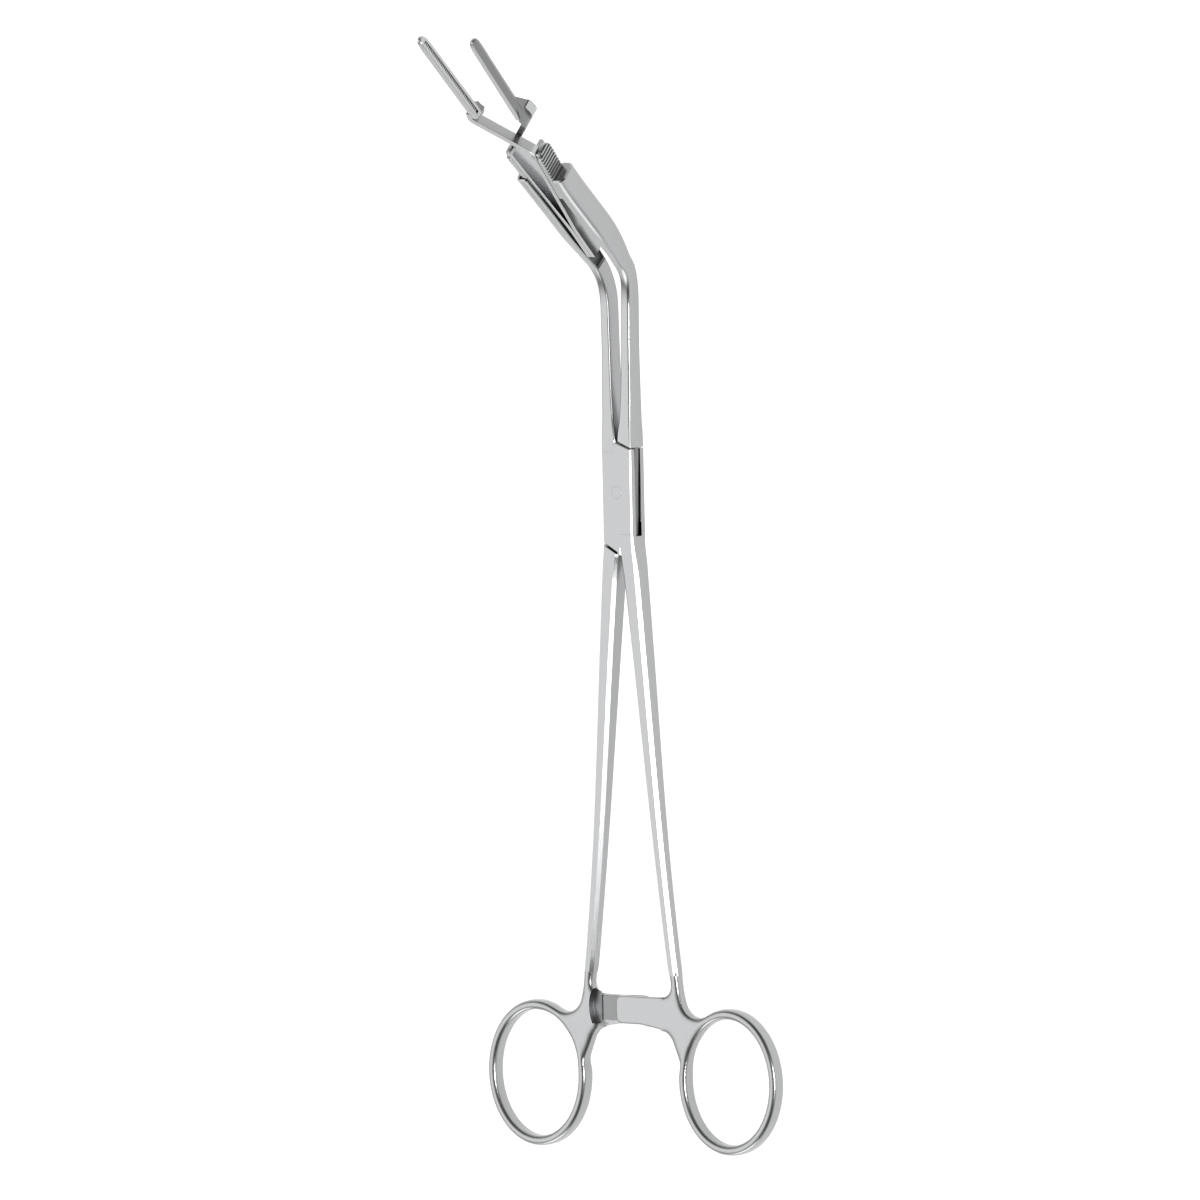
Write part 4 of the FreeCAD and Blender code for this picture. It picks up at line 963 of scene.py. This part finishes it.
def room_material(colour):
    """Pale matt floor that still takes a shadow and is clear from below."""
    material = bpy.data.materials.new("Pale floor")
    material.use_nodes = True
    surface = material.node_tree.nodes["Principled BSDF"]
    surface.inputs["Base Color"].default_value = (*colour, 1)
    surface.inputs["Roughness"].default_value = 0.9
    nodes, links = material.node_tree.nodes, material.node_tree.links
    glow = nodes.new("ShaderNodeEmission")
    glow.inputs["Color"].default_value = (1, 1, 1, 1)
    path = nodes.new("ShaderNodeLightPath")
    seen = nodes.new("ShaderNodeMath")
    seen.operation = "MAXIMUM"
    links.new(path.outputs["Is Camera Ray"], seen.inputs[0])
    links.new(path.outputs["Is Glossy Ray"], seen.inputs[1])
    through = nodes.new("ShaderNodeMath")
    through.operation = "MAXIMUM"
    links.new(seen.outputs[0], through.inputs[0])
    links.new(path.outputs["Is Transmission Ray"], through.inputs[1])
    share = nodes.new("ShaderNodeMath")
    share.operation = "MULTIPLY"
    share.inputs[1].default_value = 0.6
    links.new(through.outputs[0], share.inputs[0])
    mix = nodes.new("ShaderNodeMixShader")
    links.new(share.outputs[0], mix.inputs["Fac"])
    links.new(surface.outputs[0], mix.inputs[1])
    links.new(glow.outputs[0], mix.inputs[2])
    clear = nodes.new("ShaderNodeBsdfTransparent")
    place_seen = nodes.new("ShaderNodeNewGeometry")
    below = nodes.new("ShaderNodeMixShader")
    links.new(place_seen.outputs["Backfacing"], below.inputs["Fac"])
    links.new(mix.outputs[0], below.inputs[1])
    links.new(clear.outputs[0], below.inputs[2])
    links.new(below.outputs[0], nodes["Material Output"].inputs["Surface"])
    return material


def shade_ramp(nodes, stops):
    """Grey ramp through pairs of place and brightness."""
    ramp = nodes.new("ShaderNodeValToRGB")
    first, last = ramp.color_ramp.elements
    first.position, first.color = stops[0][0], (stops[0][1],) * 3 + (1,)
    last.position, last.color = stops[-1][0], (stops[-1][1],) * 3 + (1,)
    for spot, shade in stops[1:-1]:
        ramp.color_ramp.elements.new(spot).color = (shade, shade, shade, 1)
    return ramp


def soft_world(scene):
    """Soft studio room: a bright horizon, a window over the left shoulder and a low strip light."""
    world = bpy.data.worlds.new("Studio")
    scene.world = world
    world.use_nodes = True
    nodes, links = world.node_tree.nodes, world.node_tree.links
    light = nodes["Background"]
    where = nodes.new("ShaderNodeTexCoord")
    facing = nodes.new("ShaderNodeVectorMath")
    facing.operation = "DOT_PRODUCT"
    links.new(where.outputs["Generated"], facing.inputs[0])
    facing.inputs[1].default_value = Vector((-0.62, -0.05, 0.78)).normalized()
    window = shade_ramp(nodes, ((0.0, 0.05), (0.5, 0.1), (0.78, 0.35), (0.94, 1.4), (1.0, 1.7)))
    links.new(facing.outputs["Value"], window.inputs["Fac"])
    low = nodes.new("ShaderNodeVectorMath")
    low.operation = "DOT_PRODUCT"
    links.new(where.outputs["Generated"], low.inputs[0])
    low.inputs[1].default_value = Vector((-0.2, -0.96, 0.2)).normalized()
    strip_light = shade_ramp(nodes, ((0.0, 0.0), (0.86, 0.1), (0.925, 1.3), (0.965, 3.0), (1.0, 3.2)))
    links.new(low.outputs["Value"], strip_light.inputs["Fac"])
    windows = nodes.new("ShaderNodeMath")
    windows.operation = "MAXIMUM"
    links.new(window.outputs["Color"], windows.inputs[0])
    links.new(strip_light.outputs["Color"], windows.inputs[1])
    parts = nodes.new("ShaderNodeSeparateXYZ")
    links.new(where.outputs["Generated"], parts.inputs[0])
    height = nodes.new("ShaderNodeMath")
    height.operation = "MULTIPLY_ADD"
    height.inputs[1].default_value = 0.5
    height.inputs[2].default_value = 0.5
    links.new(parts.outputs["Z"], height.inputs[0])
    walls = shade_ramp(nodes, ((0.0, 0.6), (0.5, 1.0), (0.58, 0.8), (0.7, 0.1), (1.0, 0.1)))
    links.new(height.outputs[0], walls.inputs["Fac"])
    brighter = nodes.new("ShaderNodeMath")
    brighter.operation = "MAXIMUM"
    links.new(windows.outputs[0], brighter.inputs[0])
    links.new(walls.outputs["Color"], brighter.inputs[1])
    links.new(brighter.outputs[0], light.inputs["Color"])
    light.inputs["Strength"].default_value = 1.0
    near = shade_ramp(nodes, ((0.0, 1.0), (0.52, 1.0), (0.6, 0.0), (1.0, 0.0)))
    links.new(height.outputs[0], near.inputs["Fac"])
    path = nodes.new("ShaderNodeLightPath")
    mirrored_room = nodes.new("ShaderNodeMath")
    mirrored_room.operation = "MULTIPLY"
    links.new(path.outputs["Is Glossy Ray"], mirrored_room.inputs[0])
    links.new(near.outputs["Color"], mirrored_room.inputs[1])
    straight = nodes.new("ShaderNodeMath")
    straight.operation = "MAXIMUM"
    links.new(path.outputs["Is Camera Ray"], straight.inputs[0])
    links.new(path.outputs["Is Transmission Ray"], straight.inputs[1])
    either = nodes.new("ShaderNodeMath")
    either.operation = "MAXIMUM"
    links.new(straight.outputs[0], either.inputs[0])
    links.new(mirrored_room.outputs[0], either.inputs[1])
    seen = nodes.new("ShaderNodeBackground")
    seen.inputs["Color"].default_value = (1, 1, 1, 1)
    mix = nodes.new("ShaderNodeMixShader")
    links.new(either.outputs[0], mix.inputs["Fac"])
    links.new(light.outputs[0], mix.inputs[1])
    links.new(seen.outputs[0], mix.inputs[2])
    links.new(mix.outputs[0], nodes["World Output"].inputs["Surface"])


def lamp(name, spot, aim, size, power):
    """Square soft light aimed at a point."""
    data = bpy.data.lights.new(name, "AREA")
    data.shape = "SQUARE"
    data.size = size
    data.energy = power
    obj = bpy.data.objects.new(name, data)
    obj.location = spot
    obj.rotation_mode = "QUATERNION"
    obj.rotation_quaternion = (Vector(aim) - Vector(spot)).to_track_quat("-Z", "Y")
    bpy.context.scene.collection.objects.link(obj)
    return obj


class APPLIER_OT_studio(bpy.types.Operator):
    """Floor, soft light and the camera at the photograph's angle."""

    bl_idname = "applier.studio"
    bl_label = "Studio"

    def execute(self, context):
        scene = context.scene
        scene.view_settings.view_transform = "Standard"
        bm = bmesh.new()
        bmesh.ops.create_grid(bm, x_segments=1, y_segments=1, size=6)
        bmesh.ops.translate(bm, verts=bm.verts, vec=(0, 0, -0.018))
        mesh = bpy.data.meshes.new("floor")
        bm.to_mesh(mesh)
        bm.free()
        mesh.materials.append(room_material(scene.applier_colours.room))
        floor = bpy.data.objects.new("floor", mesh)
        scene.collection.objects.link(floor)
        soft_world(scene)
        key = lamp("key", (-0.35, 0.3, 1.2), (0, 0, 0), 1.3, 26)
        key.visible_glossy = False
        lamp("edge light", (0.86, -0.12, 0.7), (0, 0, 0), 0.35, 5)
        turn, rise, roll = math.radians(38), math.radians(5), math.radians(1.2)
        back = Vector((math.sin(turn) * math.cos(rise), math.sin(rise), math.cos(turn) * math.cos(rise)))
        up = (Vector((0, 1, 0)) - back.y * back).normalized()
        right = up.cross(back)
        right, up = (right * math.cos(roll) - up * math.sin(roll), right * math.sin(roll) + up * math.cos(roll))
        data = bpy.data.cameras.new("camera")
        data.lens = 1500
        data.sensor_width = 36
        frame_width = 1200 / 4.265 * MM
        distance = frame_width * data.lens / data.sensor_width
        centre = Vector((0, 0, MID_Z)) * MM + right * (-23.5 / 4.265 * MM) + up * (-108.5 / 4.265 * MM)
        data.clip_start, data.clip_end = 1, 40
        camera = bpy.data.objects.new("camera", data)
        pose = Matrix((right, up, back)).transposed().to_4x4()
        pose.translation = centre + back * distance
        camera.matrix_world = pose
        scene.collection.objects.link(camera)
        scene.camera = camera
        return {"FINISHED"}


class APPLIER_PT_panel(bpy.types.Panel):
    """Pieces of the clamp applier."""

    bl_label = "Clamp applier"
    bl_idname = "APPLIER_PT_panel"
    bl_space_type = "VIEW_3D"
    bl_region_type = "UI"
    bl_category = "Clamp applier"

    def draw(self, context):
        for step in STEPS:
            self.layout.operator("applier." + step)


GROUPS = {"applier_handles": HandleSizes, "applier_jaws": JawSizes, "applier_clamp": ClampSizes,
          "applier_colours": FinishColours}
STEPS = ("box", "shanks", "rings", "ratchet", "tongue", "pin", "jaws", "clamp_arms", "jaw_blades",
         "finger_plates", "studio")
CLASSES = (*GROUPS.values(), APPLIER_OT_box, APPLIER_OT_shanks, APPLIER_OT_rings, APPLIER_OT_ratchet,
           APPLIER_OT_tongue, APPLIER_OT_pin,
           APPLIER_OT_jaws, APPLIER_OT_clamp_arms, APPLIER_OT_jaw_blades, APPLIER_OT_finger_plates,
           APPLIER_OT_studio, APPLIER_PT_panel)


def register():
    """Make the classes and the settings known."""
    for cls in CLASSES:
        bpy.utils.register_class(cls)
    for name, group in GROUPS.items():
        setattr(bpy.types.Scene, name, bpy.props.PointerProperty(type=group))


def unregister():
    """Take them away again."""
    for name in GROUPS:
        delattr(bpy.types.Scene, name)
    for cls in reversed(CLASSES):
        bpy.utils.unregister_class(cls)


def main():
    """Build every piece."""
    register()
    for step in STEPS:
        getattr(bpy.ops.applier, step)()


if __name__ == "__main__":
    main()
